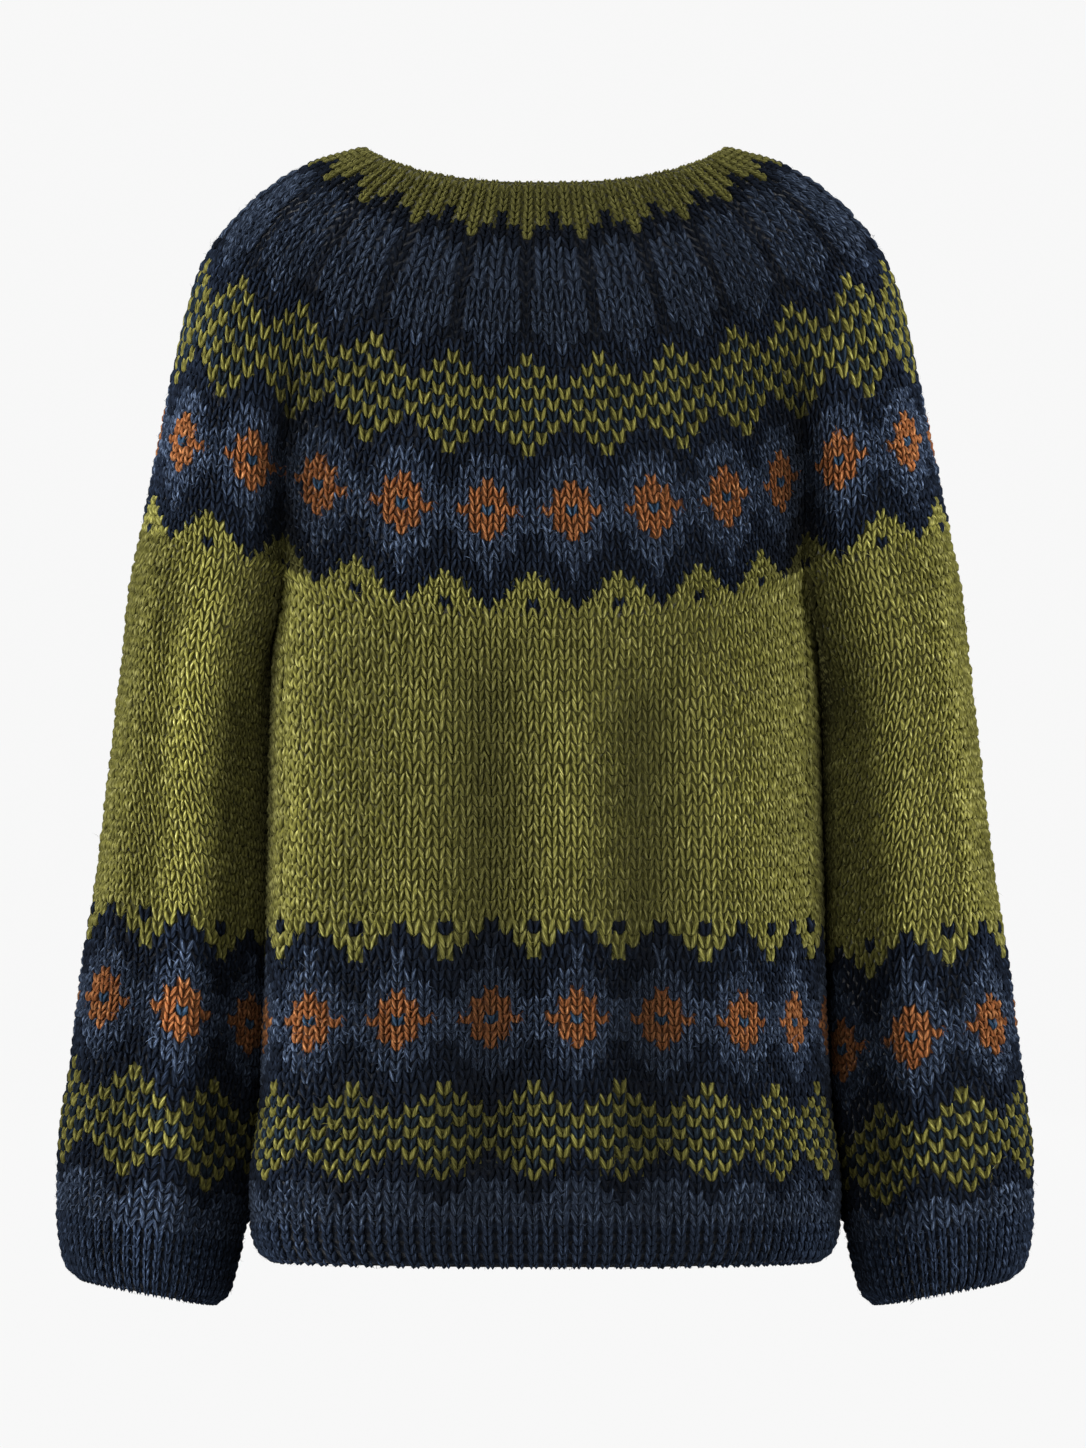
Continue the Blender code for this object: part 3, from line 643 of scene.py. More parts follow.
def leg_mesh():
    """Adds a cylinder, cuts it in the middle, and moves each ring to its place."""
    bpy.ops.mesh.primitive_cylinder_add(
        vertices=LEG_SIDES, radius=1, depth=2, end_fill_type="TRIFAN"
    )
    leg = bpy.context.object
    mode("EDIT")
    bpy.ops.mesh.select_all(action="SELECT")
    bpy.ops.mesh.bisect(plane_co=(0, 0, 0), plane_no=(0, 0, 1))
    bpy.ops.mesh.select_all(action="DESELECT")
    bpy.ops.mesh.select_mode(type="VERT")
    mode("OBJECT")
    rings = [(-1, True), (-1, False), (0, False), (1, False), (1, True)]
    places = list(zip(*LEG.values()))
    for index, (height, on_axis) in enumerate(rings):
        lean, up, lift, half_width, half_thick = places[index]
        away = OUT_OF_THE_WAY * (index + 1)
        select_ring(leg.data, height, on_axis)
        mode("EDIT")
        bpy.ops.transform.resize(
            value=(half_width or 1, half_thick or 1, 1), center_override=(0, 0, 0)
        )
        bpy.ops.transform.translate(value=(lean, lift, up - height + away))
        bpy.ops.mesh.select_all(action="DESELECT")
        mode("OBJECT")
    for vertex in leg.data.vertices:
        vertex.co.z -= OUT_OF_THE_WAY * round(vertex.co.z / OUT_OF_THE_WAY)
    mode("EDIT")
    bpy.ops.mesh.select_all(action="SELECT")
    bpy.ops.mesh.quads_convert_to_tris()
    bpy.ops.mesh.normals_make_consistent(inside=False)
    mode("OBJECT")
    points = np.array([vertex.co for vertex in leg.data.vertices])
    faces = np.array([face.vertices for face in leg.data.polygons])
    bpy.data.objects.remove(leg)
    return points, faces


leg_points, leg_faces = leg_mesh()
# A stitch is the leg and its mirror image. Columns: lean, up, height.
mirror = leg_points * [-1, 1, 1]
V_POINTS = np.concatenate([leg_points, mirror])[:, [0, 2, 1]]
V_FACES = np.concatenate([leg_faces, leg_faces[:, ::-1] + len(leg_points)])
V_SIDE = np.repeat([1.0, -1.0], len(leg_points))
V_AXIS = np.interp(V_POINTS[:, 1], LEG["up"], LEG["lean"]) * V_SIDE
# Painted light and shade of each point: the ridge lightest, and the sides darkest, where
# shade falls between the legs.
RIDGE_LIGHT, SIDE_LIGHT, FOOT_LIGHT, TIP_LIGHT = 1.1, 0.36, 0.7, 0.5
over_axis = V_POINTS[:, 2] - np.interp(V_POINTS[:, 1], LEG["up"], LEG["height"])
V_PAINTED_LIGHT = np.select(
    [over_axis > 0.1, over_axis < -0.1, V_POINTS[:, 1] < 0.5],  # mm, mm and rows
    [RIDGE_LIGHT, SIDE_LIGHT, FOOT_LIGHT], TIP_LIGHT,
)
print(f"one stitch: {len(V_POINTS)} points, {len(V_FACES)} triangles")

# %% [markdown]
# ## The wool
# The yarn is a loosely plied, brushed wool. Each colour is a marl: most of its fibres
# have one shade, some are darker and a few much lighter, and they run along the strand.
# A flat colour with a few bumps would look like plastic. So a finish stretches a fine
# noise along each leg, with the plies as slanting grooves, and lets a sheen brighten the
# edges, as loose fibres do.

# %% Colours and nodes


def linear(hex_code):
    """An sRGB hex colour as linear light, which Blender's shaders work in."""
    values = [int(hex_code[i : i + 2], 16) / 255 for i in (1, 3, 5)]
    return [v / 12.92 if v <= 0.04045 else ((v + 0.055) / 1.055) ** 2.4 for v in values]


def add(tree, kind, inputs=(), **settings):
    """Adds a node with its settings, and links or sets its inputs."""
    node = tree.nodes.new(kind)
    for key, value in settings.items():
        setattr(node, key, value)
    for key, value in dict(inputs).items():
        if isinstance(value, bpy.types.NodeSocket):
            tree.links.new(value, node.inputs[key])
        else:
            node.inputs[key].default_value = value
    return node


def material_of(name, finish):
    """A material, its nodes and its shader, with the shader's own values set."""
    material = bpy.data.materials.new(name)
    material.use_nodes = True
    shader = material.node_tree.nodes["Principled BSDF"]
    for socket, value in finish.items():
        shader.inputs[socket].default_value = value
    return material, material.node_tree, shader


def dress(tree, shader, colour, patterns, height, strength, depth_mm):
    """Gives a shader a colour and a relief of small bumps. The tone and painted light and
    shade that the mesh stores shade it, and so does each pattern, times a number and with
    another one added."""
    shade = add(tree, "ShaderNodeAttribute", attribute_name=TONE_AND_PAINTED_LIGHT).outputs["Fac"]
    for pattern, times, plus in patterns:
        level = {0: pattern, 1: times, 2: plus}
        level = add(tree, "ShaderNodeMath", level, operation="MULTIPLY_ADD").outputs[0]
        shade = {0: shade, 1: level}
        shade = add(tree, "ShaderNodeMath", shade, operation="MULTIPLY").outputs[0]
    shaded = add(tree, "ShaderNodeVectorMath", {0: colour, "Scale": shade}, operation="SCALE")
    relief = {"Height": height, "Strength": strength, "Distance": depth_mm * MM}
    bump = add(tree, "ShaderNodeBump", relief)
    tree.links.new(shaded.outputs[0], shader.inputs["Base Color"])
    tree.links.new(bump.outputs["Normal"], shader.inputs["Normal"])


# %% Sizes and shades of the strand
# Real sizes: the strand is spun from plies 1.3 mm wide. Its fibres are far thinner than
# 0.1 mm, so bundles of them are drawn, 0.5 mm wide and 6 mm long, to show at all.
PLY_MM, PLY_SLANT = 1.3, math.radians(16)
BUNDLE_MM, BUNDLE_LENGTH_MM = 0.5, 6.0
PATCH_MM = 40.0
# Between which noises of the bundles the lightest shade comes in, and how much marl
# lowers both. The same for the darkest shade, and the most that there is of it.
LIGHTS_FROM, LIGHTS_TO, MARL_LOWERS = 0.62, 0.84, 0.2
DARKS_FROM, DARKS_TO, DARKS_MOST = 0.48, 0.3, 0.8
# Pairs are what plies and patches, 0 to 1, are multiplied by, and what is added.
PLY_SHADE, PATCH_SHADE = (0.55, 0.62), (0.5, 0.75)
BUNDLE_RELIEF, RELIEF_STRENGTH, RELIEF_MM = 0.7, 0.6, 0.4
# What each mesh stores: the place across and along the strand, and its tone with painted
# light and shade.
THREAD, TONE_AND_PAINTED_LIGHT = "thread", "tone"

# %% A marled, brushed wool


def wool(name, dark, base, light, marl, sheen):
    """A yarn of three shades. marl is how much of the lightest one shows."""
    material, tree, shader = material_of(f"{name}_marl_wool", {
        "Roughness": 0.9, "Specular IOR Level": 0.12,
        "Sheen Weight": sheen, "Sheen Roughness": 0.5, "Sheen Tint": (*linear(light), 1),
    })
    thread = add(tree, "ShaderNodeAttribute", attribute_name=THREAD).outputs["Vector"]
    # Bundles of fibres and plies lie along the strand, the bundles less twisted.
    bundles_lie, plies_lie = (
        add(tree, "ShaderNodeMapping", {"Vector": thread, "Rotation": (0, 0, turn), "Scale": size},
            vector_type="TEXTURE").outputs["Vector"]
        for turn, size in (
            (PLY_SLANT / 2, (BUNDLE_MM, BUNDLE_LENGTH_MM, 1)),
            (PLY_SLANT, (PLY_MM, PLY_MM, 1)),
        )
    )
    bundles = {"Vector": bundles_lie, "Scale": 1.0, "Detail": 2.0}
    bundles = add(tree, "ShaderNodeTexNoise", bundles).outputs["Fac"]
    lower = MARL_LOWERS * marl
    colour = (*linear(base), 1)
    for other, start, end, most in (
        (dark, DARKS_FROM, DARKS_TO, DARKS_MOST),
        (light, LIGHTS_FROM - lower, LIGHTS_TO - lower, 1.0),
    ):
        share = {"Value": bundles, "From Min": start, "From Max": end, "To Max": most}
        share = add(tree, "ShaderNodeMapRange", share, interpolation_type="SMOOTHSTEP")
        mix = {0: share.outputs["Result"], 6: colour, 7: (*linear(other), 1)}
        colour = add(tree, "ShaderNodeMix", mix, data_type="RGBA").outputs[2]
    # Plies are slanting grooves, darker because little light reaches into them. A wave
    # repeats every pi / 10 at scale 1, so this scale gives one wave for one ply.
    waves = {
        "Vector": plies_lie, "Scale": math.pi / 10,
        "Distortion": 1.2, "Detail": 1.0, "Detail Scale": 1.0,
    }
    plies = add(tree, "ShaderNodeTexWave", waves, bands_direction="X").outputs["Fac"]
    # Hand-dyed wool isn't even: it has paler and deeper patches.
    place = add(tree, "ShaderNodeTexCoord").outputs["Object"]
    patches = {"Vector": place, "Scale": 1 / (PATCH_MM * MM), "Detail": 1.0}
    patches = add(tree, "ShaderNodeTexNoise", patches).outputs["Fac"]
    height = {0: bundles, 1: BUNDLE_RELIEF, 2: plies}
    height = add(tree, "ShaderNodeMath", height, operation="MULTIPLY_ADD").outputs[0]
    patterns = ((plies, *PLY_SHADE), (patches, *PATCH_SHADE))
    dress(tree, shader, colour, patterns, height, RELIEF_STRENGTH, RELIEF_MM)
    return material


# Name, darkest, main and lightest shade, marl, sheen, record slot.
SHADES = {
    "olive": ("olive", "#45451c", "#87843f", "#c2be74", 0.7, 0.35, "olive_wool"),
    "yellow": ("yellow_olive", "#424114", "#7b773a", "#a7a35b", 0.7, 0.3, "yellow_olive_wool"),
    "dark": ("dark_navy", "#0d121b", "#19212f", "#36435a", 0.5, 0.25, "dark_navy_wool"),
    "light": ("light_navy", "#151c28", "#253043", "#70819d", 0.75, 0.32, "light_navy_wool"),
    "rib_navy": ("rib_navy", "#0e131d", "#1b2433", "#46546d", 0.6, 0.3, "dark_navy_wool"),
    "slate": ("slate_navy", "#0f171e", "#1d2833", "#3a4b5b", 0.6, 0.25, "dark_navy_wool"),
    "rust": ("rust", "#5a3319", "#9c5f37", "#c98d5c", 0.75, 0.3, "rust_wool"),
    "steel": ("steel_blue", "#1b2a3b", "#354f69", "#6883a0", 0.6, 0.3, "steel_blue_wool"),
}
WOOLS = {yarn: wool(*shades[:6]) for yarn, shades in SHADES.items()}
print("wools:", ", ".join(material.name for material in WOOLS.values()))

# %% [markdown]
# ## Laying the stitches
# Whole copies could be set on the tube, but then they wouldn't bend with it or fit each
# other. So a stitch is laid by reading the tube at each of its points. No two come out
# the same: each leans, swells and sinks a little by chance, from a fixed seed. Where a
# sleeve lies against the body, the stitches of both fill the narrow space between them.

# %% Stitches to meshes
# In mm: how deep a stitch is bedded, and how far it fills out where sleeve and body lie
# together, between two distances from the middle.
BED = 1.7
PRESS, PRESSED_FROM, PRESSED_TO = 1.5, 150.0, 172.0
CHANCE = np.random.default_rng(7)
# How much stitches differ, in stitches, rows, shares, or millimetres for the lift.
UNLIKE = {
    "swell": 0.08, "across": 0.03, "slant": 0.05, "stretch": 0.05, "along": 0.05,
    "relief": 0.1, "lift": 0.2, "tone": 0.09,
}
# How far apart the noise of two legs lies, and of two stitches at most, and its share
# along the strand. Then the least and most light of a stitch, and of a fibre.
LEG_APART, STITCH_APART, ALONG_SHARE = 40, 500, 0.7
TONES, FIBRE_TONES = (0.75, 1.25), (0.5, 1.05)


def set_attribute(obj, name, kind, values):
    """Stores a value for each point, which the finish reads."""
    layer = obj.data.attributes.new(name, kind, "POINT")
    field = "vector" if kind == "FLOAT_VECTOR" else "value"
    layer.data.foreach_set(field, np.ascontiguousarray(values, np.float32).ravel())


def placed(name, data, place=(0, 0, 0)):
    """A new object in the scene."""
    obj = bpy.data.objects.new(name, data)
    obj.location = place
    bpy.context.scene.collection.objects.link(obj)
    return obj


def wool_object(name, points, faces, yarn, thread, tone):
    """An object in a yarn, from arrays of points in millimetres and of triangles."""
    mesh = bpy.data.meshes.new(name)
    mesh.from_pydata(points * MM, [], faces, shade_flat=False)
    mesh.materials.append(WOOLS[yarn])
    obj = placed(name, mesh)
    set_attribute(obj, THREAD, "FLOAT_VECTOR", thread)
    set_attribute(obj, TONE_AND_PAINTED_LIGHT, "FLOAT", tone)
    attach(obj, "root")
    return obj


def repeated(faces, count, points):
    """The faces of many copies of a shape."""
    return (faces[None] + np.arange(count)[:, None, None] * points).reshape(-1, 3)


def pressed(point, normal):
    """How far stitches fill out where body and sleeve lie against each other."""
    between = (np.abs(point[..., 0]) > PRESSED_FROM) & (np.abs(point[..., 0]) < PRESSED_TO)
    return PRESS * between * normal[..., 0] ** 4


def knit(name, tube, cells, yarn):
    """Lays a stitch on each cell. See the next step for the columns of cells."""
    stitch, row, width, height, lift, spread, loose, painted_light_of_cell = (cells[:, i, None] for i in range(8))
    count = len(cells)

    def chance(middle, what):
        return middle + loose * CHANCE.normal(0.0, UNLIKE[what], (count, 1))

    lean, up, over = V_POINTS.T[:, None, :]
    across = V_AXIS * spread + (lean - V_AXIS) * chance(1.0, "swell")
    across = across + chance(0.0, "across") + chance(0.0, "slant") * up
    stitches = stitch + width * across
    rows = row + height * (1 - up * chance(1.0, "stretch") + chance(0.0, "along"))
    point, normal = tube.at(stitches, rows)
    out = over * chance(1.0, "relief") - BED + lift + chance(0.0, "lift")
    points = point + normal * (out + pressed(point, normal))[..., None]
    faces = V_FACES[:, ::-1] if tube.mirrored else V_FACES
    faces = repeated(faces, count, len(V_POINTS))
    offset = CHANCE.uniform(0, STITCH_APART, (count, 1))
    thread = [
        (lean - V_AXIS) * width * COLUMN_MM + offset,
        up * height * ROW_MM + offset * ALONG_SHARE,
        np.broadcast_to(V_SIDE * LEG_APART, (count, len(V_SIDE))),
    ]
    tone = np.clip(CHANCE.normal(1.0, UNLIKE["tone"], (count, 1)), *TONES)
    # Painted light and shade of the tube, of the cell and of each point of the leg, times a random
    # tone.
    painted_light = tube.look_up(tube.painted_light, stitches, rows)[..., 0]
    tone = tone * V_PAINTED_LIGHT * painted_light_of_cell * painted_light
    thread = np.stack(thread, axis=-1)
    return wool_object(name, points.reshape(-1, 3), faces, yarn, thread, tone)


# %% [markdown]
# ## Which stitch goes where
# Each tube lists its cells: the stitch and row, how wide and high it is, how far it is
# lifted, how far its legs spread, how loosely it is worked, and its painted light and
# shade: darker on the neck, the petals, their sunk grooves and above the hem, lighter on
# the ribs, most on the cuffs, where less lamp light falls. Rib stitches stand up in close,
# even cords. On the yoke the dark column between two petals is sunk, and so is every
# fourth column of the neck.

# %% The cells of each part
COLUMN_MM, ROW_MM = 8.0, 7.2
# Each is the lift in mm, the spread, the looseness and the painted light and shade.
PLAIN = (0.0, 1.0, 1.0, 1.0)
NECK_RIB, NECK_GROOVE = (0.5, 0.74, 0.3, 0.43), (0.0, 0.74, 0.3, 0.33)
PETAL, PETAL_GROOVE = (0.3, 0.9, 1.0, 0.54), (-0.9, 1.0, 1.0, 0.42)
ABOVE_HEM = (0.0, 1.0, 1.0, 0.72)
HEM_RIB, CUFF_RIB = (0.7, 0.66, 0.25, 1.25), (0.7, 0.66, 0.25, 1.7)


def relief(tube, letter, row, away, middle):
    """How a stitch is worked, and its painted light and shade. away is how far it is from
    its repeat's middle stitch.
    """
    if letter == "n":
        return HEM_RIB if tube is body else CUFF_RIB
    if tube is body and row >= CHECKS_TO_ROW:
        return ABOVE_HEM
    if tube is yoke and row < NECK_TO_ROW:
        return NECK_GROOVE if away == 0 else NECK_RIB
    if tube is yoke and row < PETALS_TO_ROW:
        return PETAL_GROOVE if away == middle else PETAL
    return PLAIN


def cells_of(tube, chart, origin):
    """Every stitch of a chart on a tube: its letter, and its cell."""
    for first, last, per_repeat, lines in chart:
        height, width = (last - first) / len(lines), REPEAT / per_repeat
        for number, line in enumerate(lines):
            row = first + number * height
            for index in range(tube.around * per_repeat // REPEAT):
                away = from_middle(index, per_repeat)
                how = relief(tube, line[away], row, away, per_repeat // 2)
                yield line[away], (origin + index * width, row, width, height, *how)


# A tube, its chart and first repeat's middle, its upper piece, and the row from which it
# is another piece.
PARTS = (
    (yoke, YOKE_CHART, 0, "neckband", NECKBAND_ROWS, "yoke"),
    (body, BODY_CHART, 0, "body", HEM_FROM, "hem_band"),
    (sleeve_left, LEFT_SLEEVE_CHART, 3, "sleeve_left", CUFF_FROM, "cuff_left"),
    (sleeve_right, RIGHT_SLEEVE_CHART, 3, "sleeve_right", CUFF_FROM, "cuff_right"),
)

# %% Every stitch of the jumper
knitted = {}
all_cells = {}
stitch_count = 0
for tube, chart, origin, upper, parts_at, lower in PARTS:
    sorted_cells = {}
    for letter, cell in cells_of(tube, chart, origin):
        part = upper if cell[1] < parts_at else lower
        sorted_cells.setdefault((part, YARNS[letter]), []).append(cell)
    for (part, yarn), some in sorted_cells.items():
        some = np.array(some, float)
        knitted.setdefault(part, []).append(knit(f"{part}_{yarn}", tube, some, yarn))
        all_cells.setdefault(yarn, []).append((tube, some))
        stitch_count += len(some)
print(f"{stitch_count} stitches, {stitch_count * len(V_FACES)} triangles")

# %% [markdown]
# ## The cloth under the stitches
# Behind the legs lies the rest of each loop, which makes the cloth and its purl side.
# Whole loops would need millions of triangles, and most of them would be hidden. So a
# thin sheet stands for them: a flat grid with one square for a stitch, wrapped on to the
# tube, closed where it meets, and thickened. Its colours follow the chart.

# %% The wool of the cloth's inside
# In mm: how deep the sheet lies under the stitches, how deep at a rim, and its thickness.
CLOTH_DEPTH, RIM_DEPTH, CLOTH_THICK = 3.0, 1.3, 0.9
RIM_ROWS, RIM_STEPS = 1.5, 4  # rows that turn in at a rim, and the squares over them
# Painted shade on the sheet's outer side, under the stitches, and painted light on its inside.
PAINTED_SHADE_UNDER_STITCHES, PAINTED_LIGHT_INSIDE = 0.6, 1.6  # hardly any light reaches the cloth's outer side
# The yoke's stitches that lie in its four creases, and how far their pull reaches.
CREASES = (BACK_HALF, BACK_HALF + SLEEVE_TOP, -BACK_HALF, -BACK_HALF - SLEEVE_TOP)
CREASE_REACH = 2.0
YARN_COLOUR = "yarn_colour"
# Pairs are what bumps and fuzz are multiplied by, and what is added.
BUMP_SHADE, FUZZ_SHADE = (0.3, 0.6), (0.9, 0.5)
FUZZ_MM, FUZZ_RELIEF, PURL_STRENGTH, PURL_MM = 10 / 9, 0.8, 1.0, 1.2


def cloth_wool(around, rows):
    """The purl side: rows of small bumps, half a stitch off in every other row."""
    finish = {"Roughness": 0.95, "Specular IOR Level": 0.1, "Sheen Weight": 0.15}
    material, tree, shader = material_of("purl_side_wool", finish)
    chart_place = add(tree, "ShaderNodeUVMap").outputs["UV"]
    turns = {0: chart_place, 1: (2 * math.pi * around, 2 * math.pi * rows, 0)}
    turns = add(tree, "ShaderNodeVectorMath", turns, operation="MULTIPLY").outputs[0]
    split = add(tree, "ShaderNodeSeparateXYZ", {0: turns})
    waves = [
        add(tree, "ShaderNodeMath", {0: turn}, operation="COSINE").outputs[0]
        for turn in (split.outputs[0], split.outputs[1])
    ]
    bumps = add(tree, "ShaderNodeMath", enumerate(waves), operation="MULTIPLY").outputs[0]
    place = add(tree, "ShaderNodeTexCoord").outputs["Object"]
    fuzz = {"Vector": place, "Scale": 1 / (FUZZ_MM * MM), "Detail": 3.0}
    fuzz = add(tree, "ShaderNodeTexNoise", fuzz).outputs["Fac"]
    height = {0: fuzz, 1: FUZZ_RELIEF, 2: bumps}
    height = add(tree, "ShaderNodeMath", height, operation="MULTIPLY_ADD").outputs[0]
    colour = add(tree, "ShaderNodeAttribute", attribute_name=YARN_COLOUR).outputs["Color"]
    patterns = ((bumps, *BUMP_SHADE), (fuzz, *FUZZ_SHADE))
    dress(tree, shader, colour, patterns, height, PURL_STRENGTH, PURL_MM)
    return material


# %% One sheet


def rims(tube, first, last):
    """Whether a part between two rows has a free edge at its top, and at its bottom."""
    return tube.rolls_at == "top" and first == 0, tube.rolls_at == "bottom" and last == tube.rows


def cloth_sheet(node, tube, chart, origin, first, last):
    """Wraps a grid round a tube between two rows, and closes and thickens it. At a free
    edge it rises between the stitches and turns in with them."""
    over = [RIM_ROWS * (i + 1) / RIM_STEPS for i in range(RIM_STEPS)]
    top_rim, bottom_rim = rims(tube, first, last)
    places = [-far for far in reversed(over)] * top_rim + list(range(first, last + 1))
    places += [last + far for far in over] * bottom_rim
    around, rows = tube.around, len(places) - 1
    bpy.ops.object.select_all(action="DESELECT")
    bpy.ops.mesh.primitive_grid_add(x_subdivisions=around, y_subdivisions=rows, size=2)
    sheet = bpy.context.object
    sheet.name = f"{node}_cloth"
    mesh = sheet.data
    flat = np.array([vertex.co for vertex in mesh.vertices])
    stitch = (flat[:, 0] + 1) / 2 * around
    row = np.interp((1 - flat[:, 1]) / 2 * rows, range(rows + 1), places)
    from_top, from_bottom = np.where(top_rim, row, 1.0), np.where(bottom_rim, last - row, 1.0)
    near_rim = 1 - ease(np.minimum(from_top, from_bottom))
    depth = CLOTH_DEPTH + (RIM_DEPTH - CLOTH_DEPTH) * near_rim
    # Squares meet half way between two stitches, but on the crease in a crease of the
    # yoke, so that none of them bridges it.
    pull = np.zeros(len(stitch))
    if tube is yoke:
        for crease in CREASES:
            pull += np.exp(-((apart(stitch, crease, around) / CREASE_REACH) ** 2))
    points, _ = tube.at(stitch - 0.5 * (1 - pull), row, depth=depth[:, None])
    mesh.vertices.foreach_set("co", (points * MM).ravel())
    colours = mesh.attributes.new(YARN_COLOUR, "FLOAT_COLOR", "CORNER")
    values = np.zeros((len(mesh.loops), 4), np.float32)
    for face in mesh.polygons:
        corners = list(face.vertices)
        letter = letter_at(chart, origin, stitch[corners].mean() - 0.5, row[corners].mean())
        values[face.loop_indices] = (*linear(SHADES[YARNS[letter]][2]), 1.0)
    colours.data.foreach_set("color", values.ravel())
    mode("EDIT")
    bpy.ops.mesh.select_all(action="SELECT")
    bpy.ops.mesh.remove_doubles(threshold=0.01 * MM)
    if not tube.mirrored:
        bpy.ops.mesh.flip_normals()
    mode("OBJECT")
    solid = sheet.modifiers.new("thickness", "SOLIDIFY")
    solid.thickness = CLOTH_THICK * MM
    solid.offset = -1.0
    inner_points = len(mesh.vertices)
    bpy.ops.object.modifier_apply(modifier=solid.name)
    # Painted light on the sheet's inside, and painted shade on its side under the stitches.
    inside = np.arange(len(mesh.vertices)) < inner_points
    set_attribute(sheet, TONE_AND_PAINTED_LIGHT, "FLOAT", np.where(inside, PAINTED_LIGHT_INSIDE, PAINTED_SHADE_UNDER_STITCHES))
    bpy.ops.object.shade_smooth()
    mesh.materials.append(cloth_wool(around, rows))
    return sheet


# %% The sheets, one for each piece of the jumper


def cut_size(tube, first, last):
    """The ways round at each row and the length in mm, with what turns in at a rim."""
    step = round(1 / GRID)
    rings = tube.point[first * step : last * step + 1 : step]
    girths = np.linalg.norm(np.roll(rings, -1, axis=1) - rings, axis=2).sum(axis=1)
    length = np.linalg.norm(np.diff(rings, axis=0), axis=2).sum(axis=0).mean()
    for has_rim, down in zip(rims(tube, first, last), (tube.down[0], tube.down[-1])):
        length += has_rim * RIM_ROWS * np.linalg.norm(down, axis=1).mean()
    return girths, length


# The pieces whose slot isn't the olive one.
SLOTS = dict.fromkeys(("hem_band", "cuff_left", "cuff_right"), "dark_navy_wool")
SLOTS["yoke"] = "light_navy_wool"
sheet_triangles = 0
for tube, chart, origin, upper, parts_at, lower in PARTS:
    for node, first, last in ((upper, 0, parts_at), (lower, parts_at, tube.rows)):
        sheet = cloth_sheet(node, tube, chart, origin, first, last)
        sheet_triangles += 2 * len(sheet.data.polygons)
        girths, length = cut_size(tube, first, last)
        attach(sheet, "root")
        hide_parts(node)
        print(f"{node}: {max(girths):.0f} mm round at its widest, {length:.0f} mm long")

# %% [markdown]
# ## The halo
# Brushed wool has loose fibres that stand off the strands and soften every edge. Hair
# would be finer, but it isn't a mesh and wouldn't be exported. So each is a tiny curved
# blade of two triangles. Most lie along the strands, nearly upright, and a few reach out
# far enough to blur the outline.

# %% Loose fibres
# How many for a stitch, how wide and long in mm, and how steeply they stand off. Each
# blade stands for a small tuft, because real ones are 0.03 mm wide.
HALO = {
    "light": (6, 0.3, 3.4, 0.2), "rib_navy": (3, 0.28, 3, 0.2),
    "dark": (2.5, 0.26, 3, 0.22), "slate": (1.5, 0.26, 3, 0.22),
    "olive": (1.8, 0.22, 2.8, 0.25), "yellow": (1.5, 0.22, 2.8, 0.25),
    "rust": (2, 0.24, 2.8, 0.25), "steel": (2, 0.24, 2.8, 0.25),
}
HALO_LIFT = 0.1
# The middle of a leg, in stitches, and its slant. Then how much fibres differ.
LEG_AT, LEG_SLANT = 0.25, 0.4
SCATTER, LENGTHS, HEADINGS, BENDS = 0.12, 0.35, 0.4, 0.5
# A blade's points: the share of its length, and the side.
BLADE = ((0.0, 0), (0.5, -1), (0.5, 1), (1.0, 0))
BLADE_FACES = np.array([(0, 1, 2), (1, 3, 2)])


def fibres(yarn, places):
    """Scatters blades over the cells of one yarn."""
    per_stitch, width, length, steepness = HALO[yarn]
    points, threads, tones = [], [], []
    for tube, cells in places:
        count = int(len(cells) * per_stitch)
        cell = cells[CHANCE.integers(0, len(cells), count)]
        leg = CHANCE.choice([-1.0, 1.0], count)
        stitch = cell[:, 0] + cell[:, 2] * (leg * LEG_AT + CHANCE.normal(0, SCATTER, count))
        row = cell[:, 1] + cell[:, 3] * CHANCE.uniform(0, 1, count)
        reach = length * CHANCE.lognormal(0.0, LENGTHS, count)
        heading = leg * LEG_SLANT + CHANCE.normal(0.0, HEADINGS, count)
        heading = heading + math.pi * CHANCE.integers(0, 2, count)
        bend = CHANCE.normal(0.0, BENDS, count)
        steep = np.abs(CHANCE.normal(0.0, steepness, count))
        blade = []
        for share, side in BLADE:
            turn = heading + bend * share
            far = reach * share
            across = np.sin(turn) * far + side * width / 2 * np.cos(turn)
            along = np.cos(turn) * far - side * width / 2 * np.sin(turn)
            point, normal = tube.at(stitch + across / COLUMN_MM, row - along / ROW_MM)
            out = HALO_LIFT + steep * far + cell[:, 4] + pressed(point, normal)
            blade.append(point + normal * out[:, None])
        points.append(np.stack(blade, axis=1).reshape(-1, 3))
        threads.append(np.repeat(CHANCE.uniform(0, 100, (count, 3)), len(BLADE), axis=0))
        # Painted light and shade of the cell and of the tube, times a random tone.
        painted_light = tube.look_up(tube.painted_light, stitch, row)[..., 0]
        tone = cell[:, 7] * painted_light * CHANCE.uniform(*FIBRE_TONES, count)
        tones.append(np.repeat(tone, len(BLADE)))
    points = np.concatenate(points)
    faces = repeated(BLADE_FACES, len(points) // len(BLADE), len(BLADE))
    threads, tones = np.concatenate(threads), np.concatenate(tones)
    wool_object(f"halo_{yarn}", points, faces, yarn, threads, tones)
    return len(faces)


halo = sum(fibres(yarn, places) for yarn, places in all_cells.items())
in_all = halo + stitch_count * len(V_FACES) + sheet_triangles
print(f"{halo} triangles of loose fibres, {in_all} in all")

# %% [markdown]
# ## The studio
# The jumper hangs over a wide pale floor, and the air round it is as pale, so no horizon
# shows from any side. One light from the front would flatten the folds. So two large
# soft ones at the sides light the edges and leave the creases dark, and weaker ones from
# the front and above fill the rest.

# %% Floor and lights
FLOOR_Z, FLOOR_SIZE = -0.70, 400.0
PALE, AIR_LIGHT = 0.935, 0.1
PAPER_SHADE = 0.003  # the paper takes so little light that a shadow hardly shows

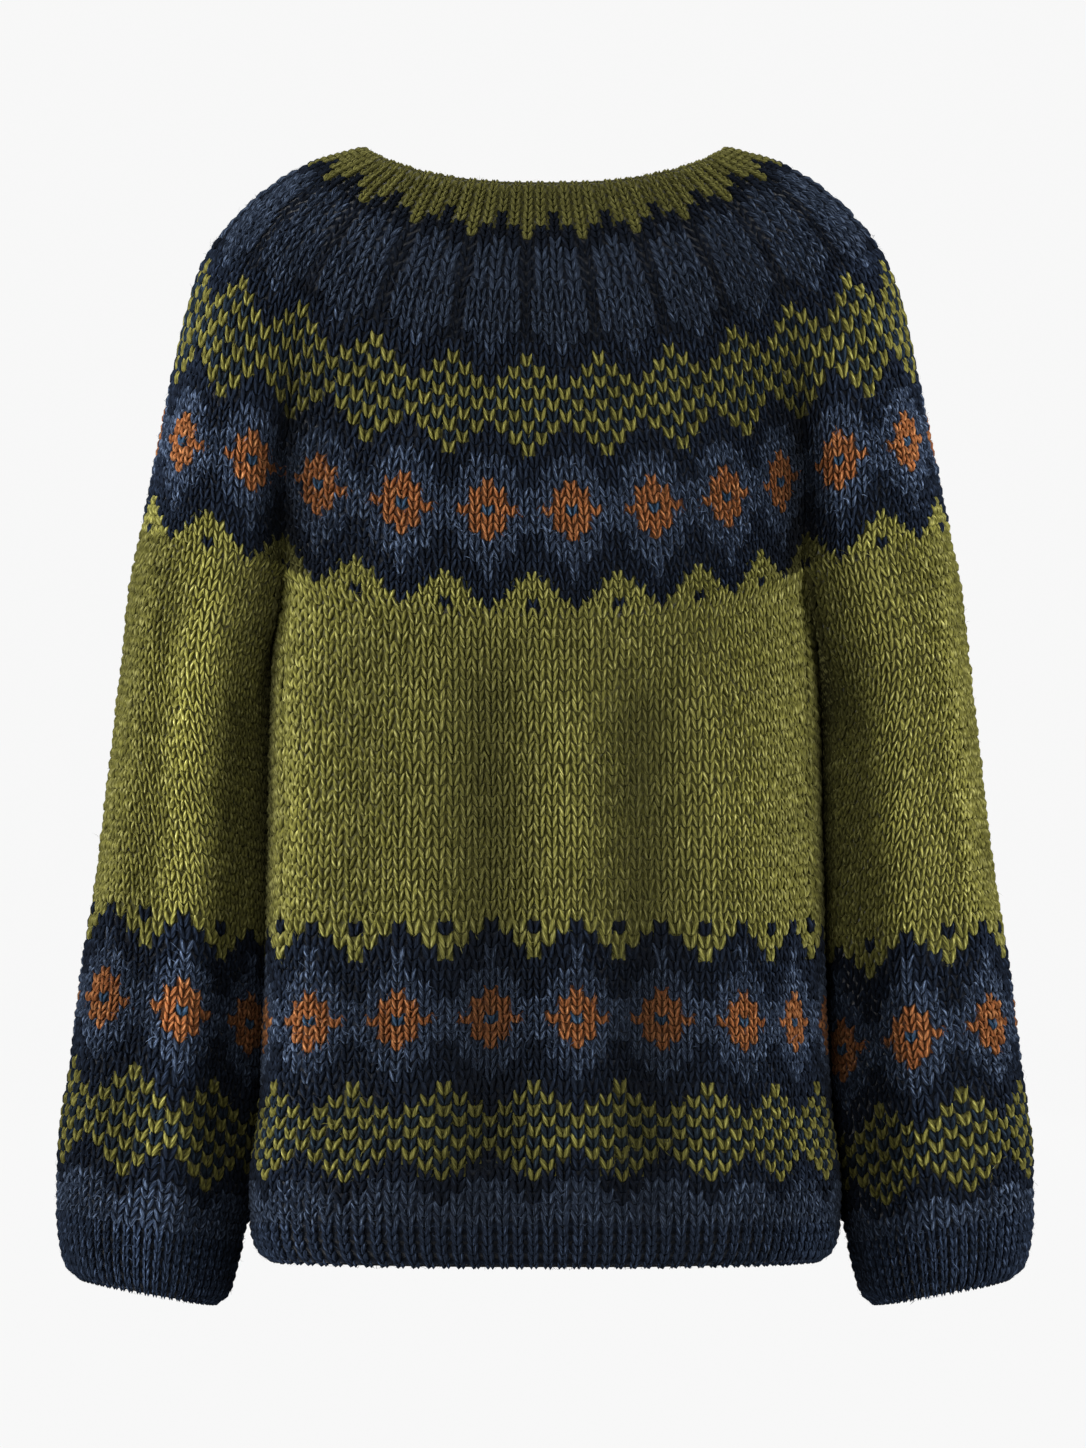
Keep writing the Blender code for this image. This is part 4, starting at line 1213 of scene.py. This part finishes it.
bpy.ops.object.select_all(action="DESELECT")
bpy.ops.mesh.primitive_plane_add(size=FLOOR_SIZE, location=(0, 0, FLOOR_Z))
floor = bpy.context.object
floor.name = "studio_floor"
bpy.ops.object.transform_apply(location=True, rotation=True, scale=True)
paper, _, _ = material_of("white_backdrop_paper", {
    "Base Color": (PAPER_SHADE, PAPER_SHADE, PAPER_SHADE, 1), "Roughness": 1.0,
    "Specular IOR Level": 0.0, "Emission Color": (1, 1, 1, 1), "Emission Strength": PALE,
})
floor.data.materials.append(paper)
# The paper is bright to the eye, and isn't a lamp for the wool.
floor.visible_diffuse = False
floor.visible_glossy = False

# Square lights that face the jumper's middle: where they are, and their size and watts.
MIDDLE = Vector((0, 0, -0.33))
for name, place, size, watts in (
    ("left", (-3.3, -1.9, 0.1), 1.6, 108),
    ("right", (3.3, -1.9, -0.1), 1.6, 110),
    ("front", (-0.8, -3.6, 0.2), 1.4, 56),
    ("top", (0, 0.2, 2.6), 1.6, 14),
    ("far_side", (0.8, 3.6, 0.6), 1.8, 90),
):
    data = bpy.data.lights.new(name, "AREA")
    data.shape, data.size, data.energy = "SQUARE", size, watts
    lamp = placed(name, data, place)
    lamp.rotation_euler = (MIDDLE - Vector(place)).to_track_quat("-Z", "Y").to_euler()
    lamp.visible_camera = False
world = bpy.data.worlds.new("studio_air")
world.use_nodes = True
air = world.node_tree
seen = add(air, "ShaderNodeLightPath").outputs["Is Camera Ray"]
glow = add(air, "ShaderNodeMapRange", {"Value": seen, "To Min": AIR_LIGHT, "To Max": PALE})
air.links.new(glow.outputs["Result"], air.nodes["Background"].inputs["Strength"])
air.nodes["Background"].inputs["Color"].default_value = (1, 1, 1, 1)
bpy.context.scene.world = world
bpy.context.scene.view_settings.view_transform = "Standard"

# %% The camera
FRAME_MM, DISTANCE = 832.6, 6.0
lens = bpy.data.cameras.new("camera")
lens.lens = 36 * DISTANCE / (FRAME_MM * MM)
lens.clip_end = 500
camera = placed("camera", lens, (-0.0012, -DISTANCE, -0.331))
camera.rotation_euler = (math.radians(90), 0, 0)
bpy.context.scene.camera = camera
print(f"lens {lens.lens:.0f} mm at {DISTANCE} m")

# %% Updating the scene
bpy.context.view_layer.update()
